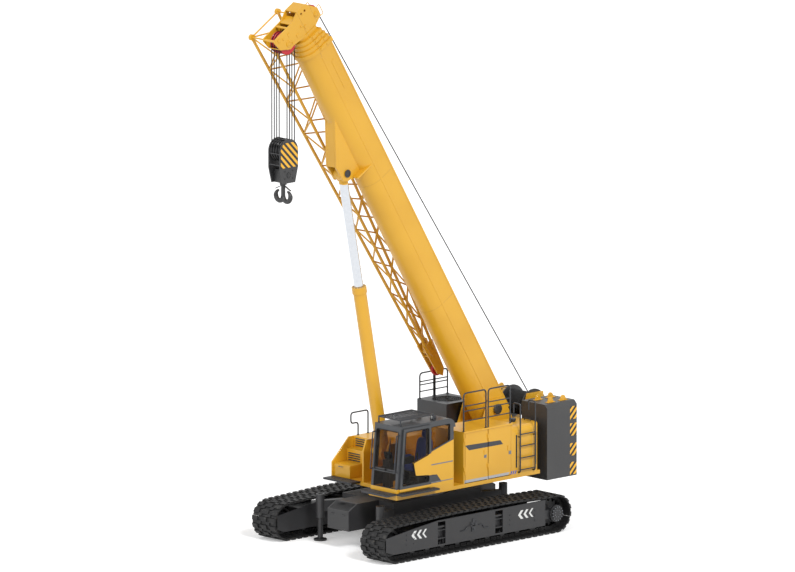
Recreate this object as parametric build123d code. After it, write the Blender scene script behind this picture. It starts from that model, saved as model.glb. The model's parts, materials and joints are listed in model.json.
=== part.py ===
from build123d import *
import os
from math import acos, atan2, cos, degrees, hypot, pi, radians, sin

# Crawler crane with a telescopic boom, in millimetres.
# The origin is on the ground under the slew centre, +X ahead, +Y to the crane's left, +Z up.

# Clearances
SEAT = 0.3                   # between a piece and what carries it
PIN_FIT = 0.06               # radial, of a pin in its bore
MOVE_GAP = 6                 # between pieces that move past each other

# Tracks
TRACK_LENGTH = 6300          # over the shoes
TRACK_GAUGE = 3770           # between the two centre lines
TRACK_END_RADIUS = 470       # outside of the shoes round sprocket and idler
TRACK_RISE = 60              # how far the carrier rollers lift the upper run
SHOE_WIDTH = 800
SHOE_PITCH = 200
SHOE_SLIT = 22               # open slit between two shoes
SHOE_THICKNESS = 52
SHOE_NOTCH = 36              # depth of the slit
LINK_DEPTH = 88              # links inside the shoes
LINK_WIDTH = 330
ROLLER_RADIUS = 110
ROLLER_COUNT = 9
ROLLER_PITCH = 500
CARRIER_X = 900              # carrier rollers, ahead of and behind the middle
CARRIER_RADIUS = 75
SHAFT_RADIUS = 45
FRAME_WIDTH = 600            # track side frame
FRAME_HALF_LENGTH = 2150
FRAME_BOTTOM = 375
FRAME_TOP = 700
CHEEK = 60                   # fork plates that hold sprocket and idler
RECESS_X = (1130, -780)      # pockets in the outer face of the side frame
RECESS_WIDTH = 250
RECESS_DEPTH = 70
SPROCKET_TEETH = 13
TOOTH_DEPTH = 55
DRIVE_RADIUS = 205           # final drive cover
DRIVE_DEPTH = 90

# Carbody and its jacks
CARBODY_HALF_LENGTH = 1450
CARBODY_HALF_WIDTH = 900
CARBODY_BOTTOM = 400
CARBODY_TOP = 1110
NOSE_X = 2450                # box that reaches ahead and astern between the tracks
NOSE_HALF_WIDTH = 365
NOSE_BOTTOM = 470
NOSE_SLOPE_X = 290
NOSE_SLOPE_Z = 160
BEAM_X = 1000                # cross beams out to the side frames
BEAM_WIDTH = 560
BEAM_DEPTH = 300
JACK_X = 2050
JACK_Y = 1040
JACK_ROD = 65                # radius
JACK_SLEEVE = 105            # radius
JACK_SLEEVE_BOTTOM = 560
JACK_TOP = 1140
JACK_STROKE = 300
JACK_FOOT = 160              # radius
JACK_FOOT_THICKNESS = 40
JACK_LIFT = 4                # of the foot over the ground
ARM_DEPTH = 260

# Slew ring, turntable and decks
RING_OUTER = 880             # radius
RING_INNER = 680             # radius
DECK_BOTTOM = 1310
DECK_THICKNESS = 90
TAIL_X = -3080               # where the counterweight hangs
TABLE_FRONT = 1250
TABLE_HALF_WIDTH = 480
SIDE_PLATE = 50              # the two plates that carry the boom
DECK_LEFT_Y = 1450
DECK_RIGHT_Y = 1500
DECK_REAR = -2890
DECK_LEFT_FRONT = 1893
DECK_RIGHT_FRONT = 1200

# Boom, along its own axis: s from the foot pin, n up from the pin line
FOOT_X = -2430
FOOT_Z = 2810
BOOM_ANGLE = 58.6            # as it stands in the photograph
FOOT_PIN = 110               # radius
BOOM_WIDTH = 700
BOOM_TOP = 420               # n of the top plate
BOOM_SIDE = 450              # height of the flat side
BOOM_BELLY = 400             # depth of the rounded lower half
BOOM_WALL = 14
BOOM_STEP = 32               # from one section's outside to the next
BOOM_REAR = -260
BOOM_END = 11200
COLLAR_LENGTH = 110
COLLAR_PROUD = 34
SECTION_REAR = 500           # where the inner sections end, at the foot
HEAD_LENGTH = 640
HEAD_SHEAVE_S = 11794
HEAD_SHEAVE_N = -627
GUIDE_SHEAVE_S = 11850
GUIDE_SHEAVE_N = 455
GUIDE_RADIUS = 170
SHEAVE_RADIUS = 240
SHEAVE_COUNT = 4
SHEAVE_PITCH = 85
SHEAVE_THICKNESS = 60
GROOVE = 26                  # depth of the rope groove
ROPE_RADIUS = 11
HEAD_PLATE = 30
JIB_BORE = 32                # radius of the jib's pin holes in the head

# Luffing cylinder
LUFF_S = 7890                # rod pin, along the boom
LUFF_N = -740
LUFF_TILT = 79               # from the level
LUFF_LENGTH = 7141           # between the pins
LUFF_PIN = 80                # radius
LUFF_ROD = 110               # radius
LUFF_BARREL = 160            # radius
LUFF_GLAND = 4241            # end of the barrel, from its base pin
LUFF_EYE = 190               # radius
LUFF_INSIDE = 1300           # length of rod in the barrel
LUFF_EYE_WIDTH = 232

# Hook block
BLOCK_DROP = 2600            # from the head sheaves' axle to the block's axle
BLOCK_HALF_LENGTH = 280
BLOCK_HEIGHT = 1060
BLOCK_PLATE = 34
HOOK_DROP = 1290             # from the block's axle to the lowest point of the hook
HOOK_HALF_WIDTH = 200
HOOK_SECTION = 46            # radius of the hook's horns
SHANK = 52                   # radius

# Stowed jib: its foot is at the boom head, its point near the boom foot
JIB_FOOT_S = 11730
JIB_TIP_S = 2500
JIB_POINT_S = 1050
JIB_NEAR_Y = -520
JIB_FOOT_WIDTH = 640
JIB_FOOT_LOW = -580
JIB_FOOT_HIGH = 420
JIB_TIP_Y = -650
JIB_TIP_WIDTH = 250
JIB_TIP_LOW = -350
JIB_TIP_HIGH = -100
JIB_CHORD = 38               # radius
JIB_LACE = 20                # radius
JIB_BAYS = 11
JIB_HANGERS = (3400, 9300)   # brackets on the boom's side

# Cab
CAB_LEFT = 1450
CAB_RIGHT = 550
CAB_TOP = 3080
CAB_ROOF_FRONT = 1747
CAB_WALL = 60
CAB_FLOOR = 100
CAB_CORNER = 170             # rounded upper rear corner
PILLAR = 75
DOOR_REAR = 790
DOOR_THICKNESS = 44
DOOR_TRAVEL = 740
GLASS = 10
SILL = 480                   # lower edge of the windows over the cab floor

# Housings, counterweight and winch
HOUSING_FRONT = -330
HOUSING_REAR = -1960
HOUSING_TOP = 2670
HOUSING_WALL = 40
LEAF_SPLIT = -1150           # post between the two housing doors
LEAF = 40                    # thickness of a housing door
TANK_TOP = 2570
TANK_ROUND = 160
RIGHT_TOP = 2290
RIGHT_STEP_X = 690
RIGHT_STEP_TOP = 1860
COOLER_FRONT = -1620
COOLER_REAR = -2640
COOLER_TOP = 2900
ENGINE_LENGTH = 1500
ENGINE_WIDTH = 640
ENGINE_HEIGHT = 620
WEIGHT_REAR = -4080
WEIGHT_HALF_WIDTH = 1500
WEIGHT_BOTTOM = 1115
WEIGHT_SPLITS = (1570, 2030)
WEIGHT_TOP = 2960
WINCH_BAY = 1240             # width between the two upper blocks
WINCH_X = -3720
WINCH_Z = 2720
DRUM_RADIUS = 270
DRUM_FLANGE = 400
DRUM_LENGTH = 760
WINCH_PLATE = 60
RAIL_RADIUS = 19
RAIL_HEIGHT = 1050
RAIL_BARS = 4


def box(x0, x1, y0, y1, z0, z1):
    """A block between two corners."""
    middle = Pos((x0 + x1) / 2, (y0 + y1) / 2, (z0 + z1) / 2)
    return middle * Box(abs(x1 - x0), abs(y1 - y0), abs(z1 - z0))


def disc(x, z, y0, y1, radius):
    """A cylinder that lies across the crane."""
    return Pos(x, (y0 + y1) / 2, z) * Rot(90, 0, 0) * Cylinder(radius, abs(y1 - y0))


def post(x, y, z0, z1, radius):
    """An upright cylinder."""
    return Pos(x, y, (z0 + z1) / 2) * Cylinder(radius, abs(z1 - z0))


def plate(points, y0, y1):
    """An outline of (x, z) points, carried across from y0 to y1."""
    face = make_face(Polyline(*points, close=True))
    return extrude(Plane.XZ.offset(-y1) * face, y1 - y0, dir=(0, -1, 0))


def slab(points, z0, z1):
    """An outline of (x, y) points, carried up from z0 to z1."""
    face = make_face(Polyline(*points, close=True))
    return extrude(Plane.XY.offset(z0) * face, z1 - z0, dir=(0, 0, 1))


def rod(start, end, radius):
    """A round bar from one point to another."""
    a, b = Vector(*start), Vector(*end)
    return Plane(origin=(a + b) / 2, z_dir=b - a) * Cylinder(radius, (b - a).length)


def fuse(pieces):
    """One solid from pieces that meet."""
    return pieces[0] + pieces[1:] if len(pieces) > 1 else pieces[0]


def group(*pieces):
    """Solids of one node that lie apart."""
    return Compound([solid for piece in pieces for solid in piece.solids()])


def both_sides(piece):
    """A piece on the left and its mirror image on the right."""
    return group(piece, mirror(piece, about=Plane.XZ))


NODES = {}

# Tracks
TRACK_Y = TRACK_GAUGE / 2
END_X = TRACK_LENGTH / 2 - TRACK_END_RADIUS
END_Z = TRACK_END_RADIUS
LINK_INSIDE = SHOE_THICKNESS + LINK_DEPTH
RUN_TOP = 2 * TRACK_END_RADIUS + TRACK_RISE
RUN_INSIDE = TRACK_END_RADIUS - LINK_INSIDE
WRAP = degrees(atan2(END_Z + TRACK_RISE, CARRIER_X - END_X)
               - acos(TRACK_END_RADIUS / hypot(END_Z + TRACK_RISE, CARRIER_X - END_X)))


def track_stations():
    """Straight and round stretches of the shoes' outer line, one after the other."""
    lift_x = END_X + TRACK_END_RADIUS * cos(radians(WRAP))
    lift_z = END_Z + TRACK_END_RADIUS * sin(radians(WRAP))
    return [
        ("line", (-END_X, 0), (END_X, 0)),
        ("arc", (END_X, END_Z), -90, WRAP),
        ("line", (lift_x, lift_z), (CARRIER_X, RUN_TOP)),
        ("line", (CARRIER_X, RUN_TOP), (-CARRIER_X, RUN_TOP)),
        ("line", (-CARRIER_X, RUN_TOP), (-lift_x, lift_z)),
        ("arc", (-END_X, END_Z), 180 - WRAP, 270),
    ]


def stretch_length(stretch):
    if stretch[0] == "line":
        return hypot(stretch[2][0] - stretch[1][0], stretch[2][1] - stretch[1][1])
    return radians(stretch[3] - stretch[2]) * TRACK_END_RADIUS


def track_point(distance, inward):
    """The point at a distance along the outer line, moved inward by so much."""
    for stretch in track_stations():
        length = stretch_length(stretch)
        if distance <= length + 1e-6:
            break
        distance -= length
    if stretch[0] == "line":
        (x0, z0), (x1, z1) = stretch[1:]
        along_x, along_z = (x1 - x0) / length, (z1 - z0) / length
        return (x0 + along_x * distance - along_z * inward, z0 + along_z * distance + along_x * inward)
    (x, z), start = stretch[1], stretch[2]
    angle = radians(start) + distance / TRACK_END_RADIUS
    radius = TRACK_END_RADIUS - inward
    return (x + radius * cos(angle), z + radius * sin(angle))


TRACK_TOTAL = sum(stretch_length(stretch) for stretch in track_stations())
SHOE_COUNT = round(TRACK_TOTAL / SHOE_PITCH)
SHOE_STEP = TRACK_TOTAL / SHOE_COUNT


def track_loop():
    """Shoes with slits between them on the outside, links on the inside, as one closed loop."""
    shoes, pitch = SHOE_COUNT, SHOE_STEP
    outer = []
    for shoe in range(shoes):
        first = shoe * pitch + SHOE_SLIT / 2
        last = (shoe + 1) * pitch - SHOE_SLIT / 2
        outer += [track_point(first, SHOE_NOTCH), track_point(first, 0)]
        outer += [track_point(last, 0), track_point(last, SHOE_NOTCH)]
    under = [track_point(shoe * pitch, SHOE_THICKNESS) for shoe in range(shoes)]
    inner = [track_point(shoe * pitch, LINK_INSIDE) for shoe in range(shoes)]
    y0, y1 = TRACK_Y - SHOE_WIDTH / 2, TRACK_Y + SHOE_WIDTH / 2
    link0, link1 = TRACK_Y - LINK_WIDTH / 2, TRACK_Y + LINK_WIDTH / 2
    shoe_band = plate(outer, y0, y1) - plate(under, y0 - 1, y1 + 1)
    link_band = plate(under, link0, link1) - plate(inner, link0 - 1, link1 + 1)
    return shoe_band + link_band


# The links bend at their pins, so a round stretch is a polygon inside.
WHEEL_RADIUS = RUN_INSIDE * cos(SHOE_STEP / TRACK_END_RADIUS / 2) - SEAT * 3
FRAME_IN = TRACK_Y - FRAME_WIDTH / 2
FRAME_OUT = TRACK_Y + FRAME_WIDTH / 2
WHEEL_HALF = FRAME_WIDTH / 2 - CHEEK
FRAME_MIDDLE = (FRAME_BOTTOM + FRAME_TOP) / 2


def side_frame():
    """Box beam with pockets in its outer face and a fork at each end for sprocket and idler."""
    beam = box(-FRAME_HALF_LENGTH, FRAME_HALF_LENGTH, FRAME_IN, FRAME_OUT, FRAME_BOTTOM, FRAME_TOP)
    pocket_margin = (FRAME_TOP - FRAME_BOTTOM) / 8
    for x in RECESS_X:
        beam -= box(x - RECESS_WIDTH / 2, x + RECESS_WIDTH / 2, FRAME_OUT - RECESS_DEPTH, FRAME_OUT + 1,
                    FRAME_BOTTOM + pocket_margin, FRAME_TOP - pocket_margin)
    forks = []
    for end in (-1, 1):
        for y in (FRAME_IN, FRAME_OUT - CHEEK):
            arm = box(end * (FRAME_HALF_LENGTH - CHEEK), end * END_X, y, y + CHEEK,
                      END_Z - SHAFT_RADIUS * 2.4, END_Z + SHAFT_RADIUS * 2.4)
            boss = disc(end * END_X, END_Z, y, y + CHEEK, SHAFT_RADIUS * 2.4)
            forks += [arm + boss - disc(end * END_X, END_Z, y - 1, y + CHEEK + 1, SHAFT_RADIUS + SEAT)]
    return fuse([beam] + forks)


def wheel_on_shaft(x, outline):
    """A wheel between the fork plates, with its shaft through both."""
    shaft = disc(x, END_Z, FRAME_IN, FRAME_OUT, SHAFT_RADIUS)
    hub = disc(x, END_Z, FRAME_IN + CHEEK + SEAT, FRAME_OUT - CHEEK - SEAT, SHAFT_RADIUS * 2.2)
    return fuse([outline, hub, shaft])


def sprocket():
    """Toothed wheel at the rear of a track."""
    points = []
    for tooth in range(SPROCKET_TEETH):
        for share, radius in ((0.0, WHEEL_RADIUS - TOOTH_DEPTH), (0.35, WHEEL_RADIUS - TOOTH_DEPTH),
                              (0.5, WHEEL_RADIUS), (0.85, WHEEL_RADIUS)):
            angle = 2 * pi * (tooth + share) / SPROCKET_TEETH
            points.append((-END_X + radius * cos(angle), END_Z + radius * sin(angle)))
    return wheel_on_shaft(-END_X, plate(points, TRACK_Y - LINK_WIDTH / 4, TRACK_Y + LINK_WIDTH / 4))


def idler():
    """Plain wheel at the front of a track, dished on both faces."""
    rim = disc(END_X, END_Z, TRACK_Y - LINK_WIDTH / 2, TRACK_Y + LINK_WIDTH / 2, WHEEL_RADIUS)
    for y in (TRACK_Y - LINK_WIDTH / 2, TRACK_Y + LINK_WIDTH / 2):
        rim -= disc(END_X, END_Z, y - LINK_WIDTH / 5, y + LINK_WIDTH / 5, WHEEL_RADIUS - TOOTH_DEPTH)
    return wheel_on_shaft(END_X, rim)


def roller(x, z, radius, carrier_z):
    """A double-flanged roller hung from a bracket on the side frame."""
    half = LINK_WIDTH / 2 + SHAFT_RADIUS
    body = disc(x, z, TRACK_Y - half, TRACK_Y + half, radius)
    shaft = disc(x, z, TRACK_Y - half - CHEEK, TRACK_Y + half + CHEEK, SHAFT_RADIUS)
    legs = []
    for y in (TRACK_Y - half - CHEEK, TRACK_Y + half + SHAFT_RADIUS / 3):
        legs.append(box(x - SHAFT_RADIUS, x + SHAFT_RADIUS, y, y + CHEEK - SHAFT_RADIUS / 3, z, carrier_z))
    return fuse([body, shaft] + legs)


def track_rollers():
    lower_z = LINK_INSIDE + ROLLER_RADIUS + SEAT
    upper_z = RUN_TOP - LINK_INSIDE - CARRIER_RADIUS - SEAT
    first = -(ROLLER_COUNT - 1) / 2 * ROLLER_PITCH
    lower = [roller(first + i * ROLLER_PITCH, lower_z, ROLLER_RADIUS, FRAME_BOTTOM)
             for i in range(ROLLER_COUNT)]
    inside = CARRIER_X - SHOE_PITCH * 1.3
    upper = [roller(x, upper_z, CARRIER_RADIUS, FRAME_TOP) for x in (-inside, inside)]
    return group(*lower, *upper)


def final_drive():
    """Stepped round cover outside the sprocket's fork."""
    cover = disc(-END_X, END_Z, FRAME_OUT + SEAT, FRAME_OUT + DRIVE_DEPTH * 0.6, DRIVE_RADIUS)
    cap = disc(-END_X, END_Z, FRAME_OUT - SHAFT_RADIUS, FRAME_OUT + DRIVE_DEPTH, SHAFT_RADIUS)
    cap += disc(-END_X, END_Z, FRAME_OUT + SEAT, FRAME_OUT + DRIVE_DEPTH, DRIVE_RADIUS * 0.72)
    return cover + cap


left_track = track_loop()
NODES["track_left"] = left_track
NODES["track_right"] = mirror(left_track, about=Plane.XZ)
NODES["track_frames"] = both_sides(side_frame())
NODES["sprockets"] = both_sides(fuse([sprocket(), final_drive()]))
NODES["idlers"] = both_sides(idler())
NODES["track_rollers"] = both_sides(track_rollers())


# Carbody, jacks and slew ring
def carbody():
    """Box between the tracks, with a nose at each end and two beams out to the side frames."""
    pieces = [box(-CARBODY_HALF_LENGTH, CARBODY_HALF_LENGTH, -CARBODY_HALF_WIDTH, CARBODY_HALF_WIDTH,
                  CARBODY_BOTTOM, CARBODY_TOP)]
    for end in (-1, 1):
        nose = [(0, NOSE_BOTTOM), (end * NOSE_X, NOSE_BOTTOM), (end * NOSE_X, CARBODY_TOP - NOSE_SLOPE_Z),
                (end * (NOSE_X - NOSE_SLOPE_X), CARBODY_TOP), (0, CARBODY_TOP)]
        pieces.append(plate(nose, -NOSE_HALF_WIDTH, NOSE_HALF_WIDTH))
        pieces.append(box(end * BEAM_X - BEAM_WIDTH / 2, end * BEAM_X + BEAM_WIDTH / 2, -FRAME_IN, FRAME_IN,
                          FRAME_MIDDLE - BEAM_DEPTH / 2, FRAME_MIDDLE + BEAM_DEPTH / 2))
    return fuse(pieces)


def jack_arm(fore, side):
    """Arm from the carbody's corner to the sleeve of a jack."""
    root_x = fore * CARBODY_HALF_LENGTH
    outline = [(root_x, side * (CARBODY_HALF_WIDTH - ARM_DEPTH)), (root_x, side * CARBODY_HALF_WIDTH),
               (fore * JACK_X, side * (JACK_Y + JACK_SLEEVE * 0.7)),
               (fore * JACK_X, side * (JACK_Y - JACK_SLEEVE * 0.7))]
    middle = (JACK_SLEEVE_BOTTOM + JACK_TOP) / 2
    arm = slab(outline, middle - ARM_DEPTH / 2, middle + ARM_DEPTH / 2)
    sleeve = post(fore * JACK_X, side * JACK_Y, JACK_SLEEVE_BOTTOM, JACK_TOP, JACK_SLEEVE)
    bore = post(fore * JACK_X, side * JACK_Y, JACK_SLEEVE_BOTTOM - 1, JACK_TOP + 1, JACK_ROD + PIN_FIT)
    return arm + sleeve - bore


def jack_leg(fore, side):
    """Rod in its sleeve, with a round foot."""
    x, y = fore * JACK_X, side * JACK_Y
    shaft = post(x, y, JACK_LIFT, JACK_TOP - JACK_STROKE, JACK_ROD)
    return shaft + post(x, y, JACK_LIFT, JACK_LIFT + JACK_FOOT_THICKNESS, JACK_FOOT)


CORNERS = {"front_left": (1, 1), "front_right": (1, -1), "rear_left": (-1, 1), "rear_right": (-1, -1)}
NODES["carbody"] = fuse([carbody()] + [jack_arm(*corner) for corner in CORNERS.values()])
for corner_name, corner in CORNERS.items():
    NODES["jack_leg_" + corner_name] = jack_leg(*corner)
ring_height = DECK_BOTTOM - CARBODY_TOP - SEAT
NODES["slew_ring"] = Pos(0, 0, CARBODY_TOP + ring_height / 2) * (
    Cylinder(RING_OUTER, ring_height) - Cylinder(RING_INNER, ring_height + 2))

# Turntable and decks
DECK_TOP = DECK_BOTTOM + DECK_THICKNESS
SLOT_HALF = BOOM_WIDTH / 2 + SIDE_PLATE * 0.4
PLATE_OUT = SLOT_HALF + SIDE_PLATE
BOOM_COS, BOOM_SIN = cos(radians(BOOM_ANGLE)), sin(radians(BOOM_ANGLE))
LUFF_PIN_X = FOOT_X + LUFF_S * BOOM_COS - LUFF_N * BOOM_SIN
LUFF_PIN_Z = FOOT_Z + LUFF_S * BOOM_SIN + LUFF_N * BOOM_COS
BASE_PIN_X = LUFF_PIN_X - LUFF_LENGTH * cos(radians(LUFF_TILT))
BASE_PIN_Z = LUFF_PIN_Z - LUFF_LENGTH * sin(radians(LUFF_TILT))


def boom_plate(y):
    """Upright plate with the boom's foot at its rear and the luffing cylinder's foot at its front."""
    foot = FOOT_PIN * 2.3
    eye = LUFF_EYE * 1.5
    outline = [(TAIL_X, DECK_TOP), (TAIL_X, FOOT_Z - foot * 2), (FOOT_X - foot, FOOT_Z + foot),
               (FOOT_X + foot, FOOT_Z + foot), (FOOT_X + foot * 2, FOOT_Z - foot * 1.5),
               (FOOT_X + foot * 6, BASE_PIN_Z - eye / 2), (BASE_PIN_X - eye * 1.5, BASE_PIN_Z - eye / 2),
               (BASE_PIN_X - eye * 0.8, BASE_PIN_Z + eye), (BASE_PIN_X + eye * 0.7, BASE_PIN_Z + eye),
               (TABLE_FRONT, BASE_PIN_Z), (TABLE_FRONT, DECK_TOP)]
    body = plate(outline, y, y + SIDE_PLATE)
    body -= disc(FOOT_X, FOOT_Z, y - 1, y + SIDE_PLATE + 1, FOOT_PIN + PIN_FIT)
    return body - disc(BASE_PIN_X, BASE_PIN_Z, y - 1, y + SIDE_PLATE + 1, LUFF_PIN + PIN_FIT)


def turntable():
    """Base plate over the slew ring, the two boom plates and the walls between them at the tail."""
    base = box(TAIL_X, TABLE_FRONT, -TABLE_HALF_WIDTH, TABLE_HALF_WIDTH, DECK_BOTTOM, DECK_TOP)
    tail = box(TAIL_X, TAIL_X + SIDE_PLATE, -SLOT_HALF, SLOT_HALF, DECK_TOP, FOOT_Z - FOOT_PIN * 6)
    return fuse([base, boom_plate(SLOT_HALF), boom_plate(-PLATE_OUT), tail])


NODES["turntable"] = turntable()
NODES["decks"] = group(
    box(DECK_REAR, DECK_LEFT_FRONT, TABLE_HALF_WIDTH, DECK_LEFT_Y, DECK_BOTTOM, DECK_TOP),
    box(DECK_REAR, DECK_RIGHT_FRONT, -DECK_RIGHT_Y, -TABLE_HALF_WIDTH, DECK_BOTTOM, DECK_TOP))
NODES["boom_foot_pin"] = disc(FOOT_X, FOOT_Z, -PLATE_OUT - SIDE_PLATE, PLATE_OUT + SIDE_PLATE, FOOT_PIN)


# Left housing with two doors hinged at their front edges, and the tank behind it
HINGE = 10                   # radius of a hinge knuckle
HINGE_OUT = 15               # hinge line outside the door's face
HINGE_BACK = 3               # hinge line behind the jamb
KNUCKLE = 90                 # length of a knuckle
LEAF_GAP = 20                # from a jamb to its door
LEAF_Z0 = DECK_TOP + 20
LEAF_Z1 = HOUSING_TOP - HOUSING_WALL
KNUCKLE_Z = (LEAF_Z0 + 200, LEAF_Z1 - 200 - KNUCKLE)
HOUSING_IN = PLATE_OUT + 60


def hinge_half(jamb_x, away, z):
    """One knuckle and the strap that holds it, on the jamb or on the door."""
    axis_x, axis_y = jamb_x - HINGE_BACK, DECK_LEFT_Y + HINGE_OUT
    strap_end = axis_x + away * LEAF_GAP * 2
    strap = box(axis_x, strap_end, DECK_LEFT_Y, axis_y + HINGE / 2, z, z + KNUCKLE)
    strap -= box(axis_x - away, axis_x + away * (HINGE_BACK if away > 0 else LEAF_GAP - HINGE_BACK),
                 DECK_LEFT_Y - 1, axis_y - HINGE / 2, z - 1, z + KNUCKLE + 1)
    return strap + post(axis_x, axis_y, z, z + KNUCKLE, HINGE)


def housing_door(jamb_x, end_x):
    """Flat door with its two hinge knuckles and a latch at the far edge."""
    panel = box(jamb_x - LEAF_GAP, end_x + MOVE_GAP, DECK_LEFT_Y - LEAF, DECK_LEFT_Y, LEAF_Z0, LEAF_Z1)
    latch_z = (LEAF_Z0 + LEAF_Z1) / 2
    latch = box(end_x + LEAF * 1.5, end_x + LEAF * 3, DECK_LEFT_Y, DECK_LEFT_Y + LEAF / 3, latch_z, latch_z + LEAF * 3)
    return fuse([panel, latch] + [hinge_half(jamb_x, -1, z) for z in KNUCKLE_Z])


def left_housing():
    """Roof, end walls, inner wall and door posts, open below and towards the doors."""
    wall = HOUSING_WALL
    shell = box(HOUSING_REAR, HOUSING_FRONT, HOUSING_IN, DECK_LEFT_Y, DECK_TOP, HOUSING_TOP)
    shell -= box(HOUSING_REAR + wall, HOUSING_FRONT - wall, HOUSING_IN + wall, DECK_LEFT_Y + 1,
                 DECK_TOP - 1, HOUSING_TOP - wall)
    shell += box(LEAF_SPLIT, LEAF_SPLIT + wall / 2, DECK_LEFT_Y - LEAF * 3, DECK_LEFT_Y, DECK_TOP, HOUSING_TOP)
    halves = [hinge_half(jamb, 1, z + KNUCKLE + SEAT)
              for jamb in (HOUSING_FRONT - wall, LEAF_SPLIT) for z in KNUCKLE_Z]
    return fuse([shell] + halves)


NODES["left_housing"] = left_housing()
NODES["housing_door_front"] = housing_door(HOUSING_FRONT - HOUSING_WALL, LEAF_SPLIT + HOUSING_WALL / 2)
NODES["housing_door_rear"] = housing_door(LEAF_SPLIT, HOUSING_REAR + HOUSING_WALL)
tank = box(DECK_REAR, HOUSING_REAR, HOUSING_IN, DECK_LEFT_Y, DECK_TOP, TANK_TOP)
tank_edges = tank.edges().filter_by(Axis.Z).sort_by(Axis.X)[:2] + tank.edges().filter_by(Axis.X).sort_by(Axis.Z)[-2:]
NODES["fuel_tank"] = fillet(tank_edges, TANK_ROUND)


# Right housing, with the engine in it, a lower step in front and the cooler on top
def right_housing():
    """Hollow stepped cover, open below, with louvre slots in its front faces."""
    wall = HOUSING_WALL
    outer = [(DECK_REAR, DECK_TOP), (DECK_REAR, RIGHT_TOP), (RIGHT_STEP_X, RIGHT_TOP),
             (RIGHT_STEP_X, RIGHT_STEP_TOP), (DECK_RIGHT_FRONT, RIGHT_STEP_TOP), (DECK_RIGHT_FRONT, DECK_TOP)]
    inner = [(DECK_REAR + wall, DECK_TOP - 1), (DECK_REAR + wall, RIGHT_TOP - wall),
             (RIGHT_STEP_X - wall, RIGHT_TOP - wall), (RIGHT_STEP_X - wall, RIGHT_STEP_TOP - wall),
             (DECK_RIGHT_FRONT - wall, RIGHT_STEP_TOP - wall), (DECK_RIGHT_FRONT - wall, DECK_TOP - 1)]
    shell = plate(outer, -DECK_RIGHT_Y, -HOUSING_IN)
    shell -= plate(inner, -DECK_RIGHT_Y + wall, -HOUSING_IN - wall)
    slot_y0, slot_y1 = -DECK_RIGHT_Y + wall * 3, -HOUSING_IN - wall * 3
    for row in range(4):
        z = RIGHT_STEP_TOP + wall * 2 + row * wall * 2
        shell -= box(RIGHT_STEP_X - wall - 1, RIGHT_STEP_X + 1, slot_y0, slot_y1, z, z + wall)
    return shell


def cooler():
    """Dark box with the fan opening in its top."""
    middle = ((COOLER_FRONT + COOLER_REAR) / 2, -(DECK_RIGHT_Y + HOUSING_IN) / 2)
    body = box(COOLER_REAR, COOLER_FRONT, -DECK_RIGHT_Y, -HOUSING_IN, RIGHT_TOP, COOLER_TOP)
    fan = (DECK_RIGHT_Y - HOUSING_IN) * 0.36
    well = post(*middle, COOLER_TOP - HOUSING_WALL * 2, COOLER_TOP + 1, fan)
    hub = post(*middle, COOLER_TOP - HOUSING_WALL * 2, COOLER_TOP - HOUSING_WALL, fan / 3)
    return body - well + hub


NODES["right_housing"] = right_housing()
NODES["cooler"] = cooler()
engine_rear = (DECK_REAR + RIGHT_STEP_X - ENGINE_LENGTH) / 2
engine_y = -(DECK_RIGHT_Y + HOUSING_IN) / 2
NODES["engine"] = box(engine_rear, engine_rear + ENGINE_LENGTH, engine_y - ENGINE_WIDTH / 2,
                      engine_y + ENGINE_WIDTH / 2, DECK_TOP, DECK_TOP + ENGINE_HEIGHT)

# Counterweight and winch
WEIGHT_FRONT = TAIL_X
NODES["counterweight_base"] = box(WEIGHT_REAR, WEIGHT_FRONT, -WEIGHT_HALF_WIDTH, WEIGHT_HALF_WIDTH,
                                  WEIGHT_BOTTOM, WEIGHT_SPLITS[0])
NODES["counterweight_middle"] = box(WEIGHT_REAR, WEIGHT_FRONT, -WEIGHT_HALF_WIDTH, WEIGHT_HALF_WIDTH,
                                    *WEIGHT_SPLITS)
upper_block = box(WEIGHT_REAR, WEIGHT_FRONT, WINCH_BAY / 2, WEIGHT_HALF_WIDTH, WEIGHT_SPLITS[1], WEIGHT_TOP)
NODES["counterweight_top"] = both_sides(chamfer(upper_block.edges().filter_by(Axis.X).sort_by(Axis.Z)[-1], 90))


def winch_plate(y):
    """Side plate of the winch, standing on the middle counterweight."""
    reach = DRUM_FLANGE * 0.8
    outline = [(WINCH_X - reach, WEIGHT_SPLITS[1]), (WINCH_X - reach * 0.8, WINCH_Z + reach),
               (WINCH_X + reach * 0.8, WINCH_Z + reach), (WINCH_X + reach * 1.6, WEIGHT_SPLITS[1])]
    return plate(outline, y, y + WINCH_PLATE) - disc(WINCH_X, WINCH_Z, y - 1, y + WINCH_PLATE + 1,
                                                     SHAFT_RADIUS + PIN_FIT)


def winch_drum():
    """Drum between two flanges, on its shaft."""
    half = DRUM_LENGTH / 2
    barrel = disc(WINCH_X, WINCH_Z, -half, half, DRUM_RADIUS)
    flanges = [disc(WINCH_X, WINCH_Z, y, y + WINCH_PLATE / 2, DRUM_FLANGE)
               for y in (-half, half - WINCH_PLATE / 2)]
    reach = half + MOVE_GAP + WINCH_PLATE
    return fuse([barrel] + flanges + [disc(WINCH_X, WINCH_Z, -reach, reach, SHAFT_RADIUS)])


NODES["winch_frame"] = group(winch_plate(DRUM_LENGTH / 2 + MOVE_GAP),
                             winch_plate(-DRUM_LENGTH / 2 - MOVE_GAP - WINCH_PLATE))
NODES["winch_drum"] = winch_drum()


# Cab: floor, roof and four walls as thick as the real panels, with their windows cut
CAB_Z0 = DECK_TOP + CAB_FLOOR
CAB_FRONT = DECK_LEFT_FRONT
ROOF_Z = CAB_TOP - CAB_WALL
SILL_Z = CAB_Z0 + SILL
HEAD_Z = ROOF_Z - PILLAR


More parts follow.
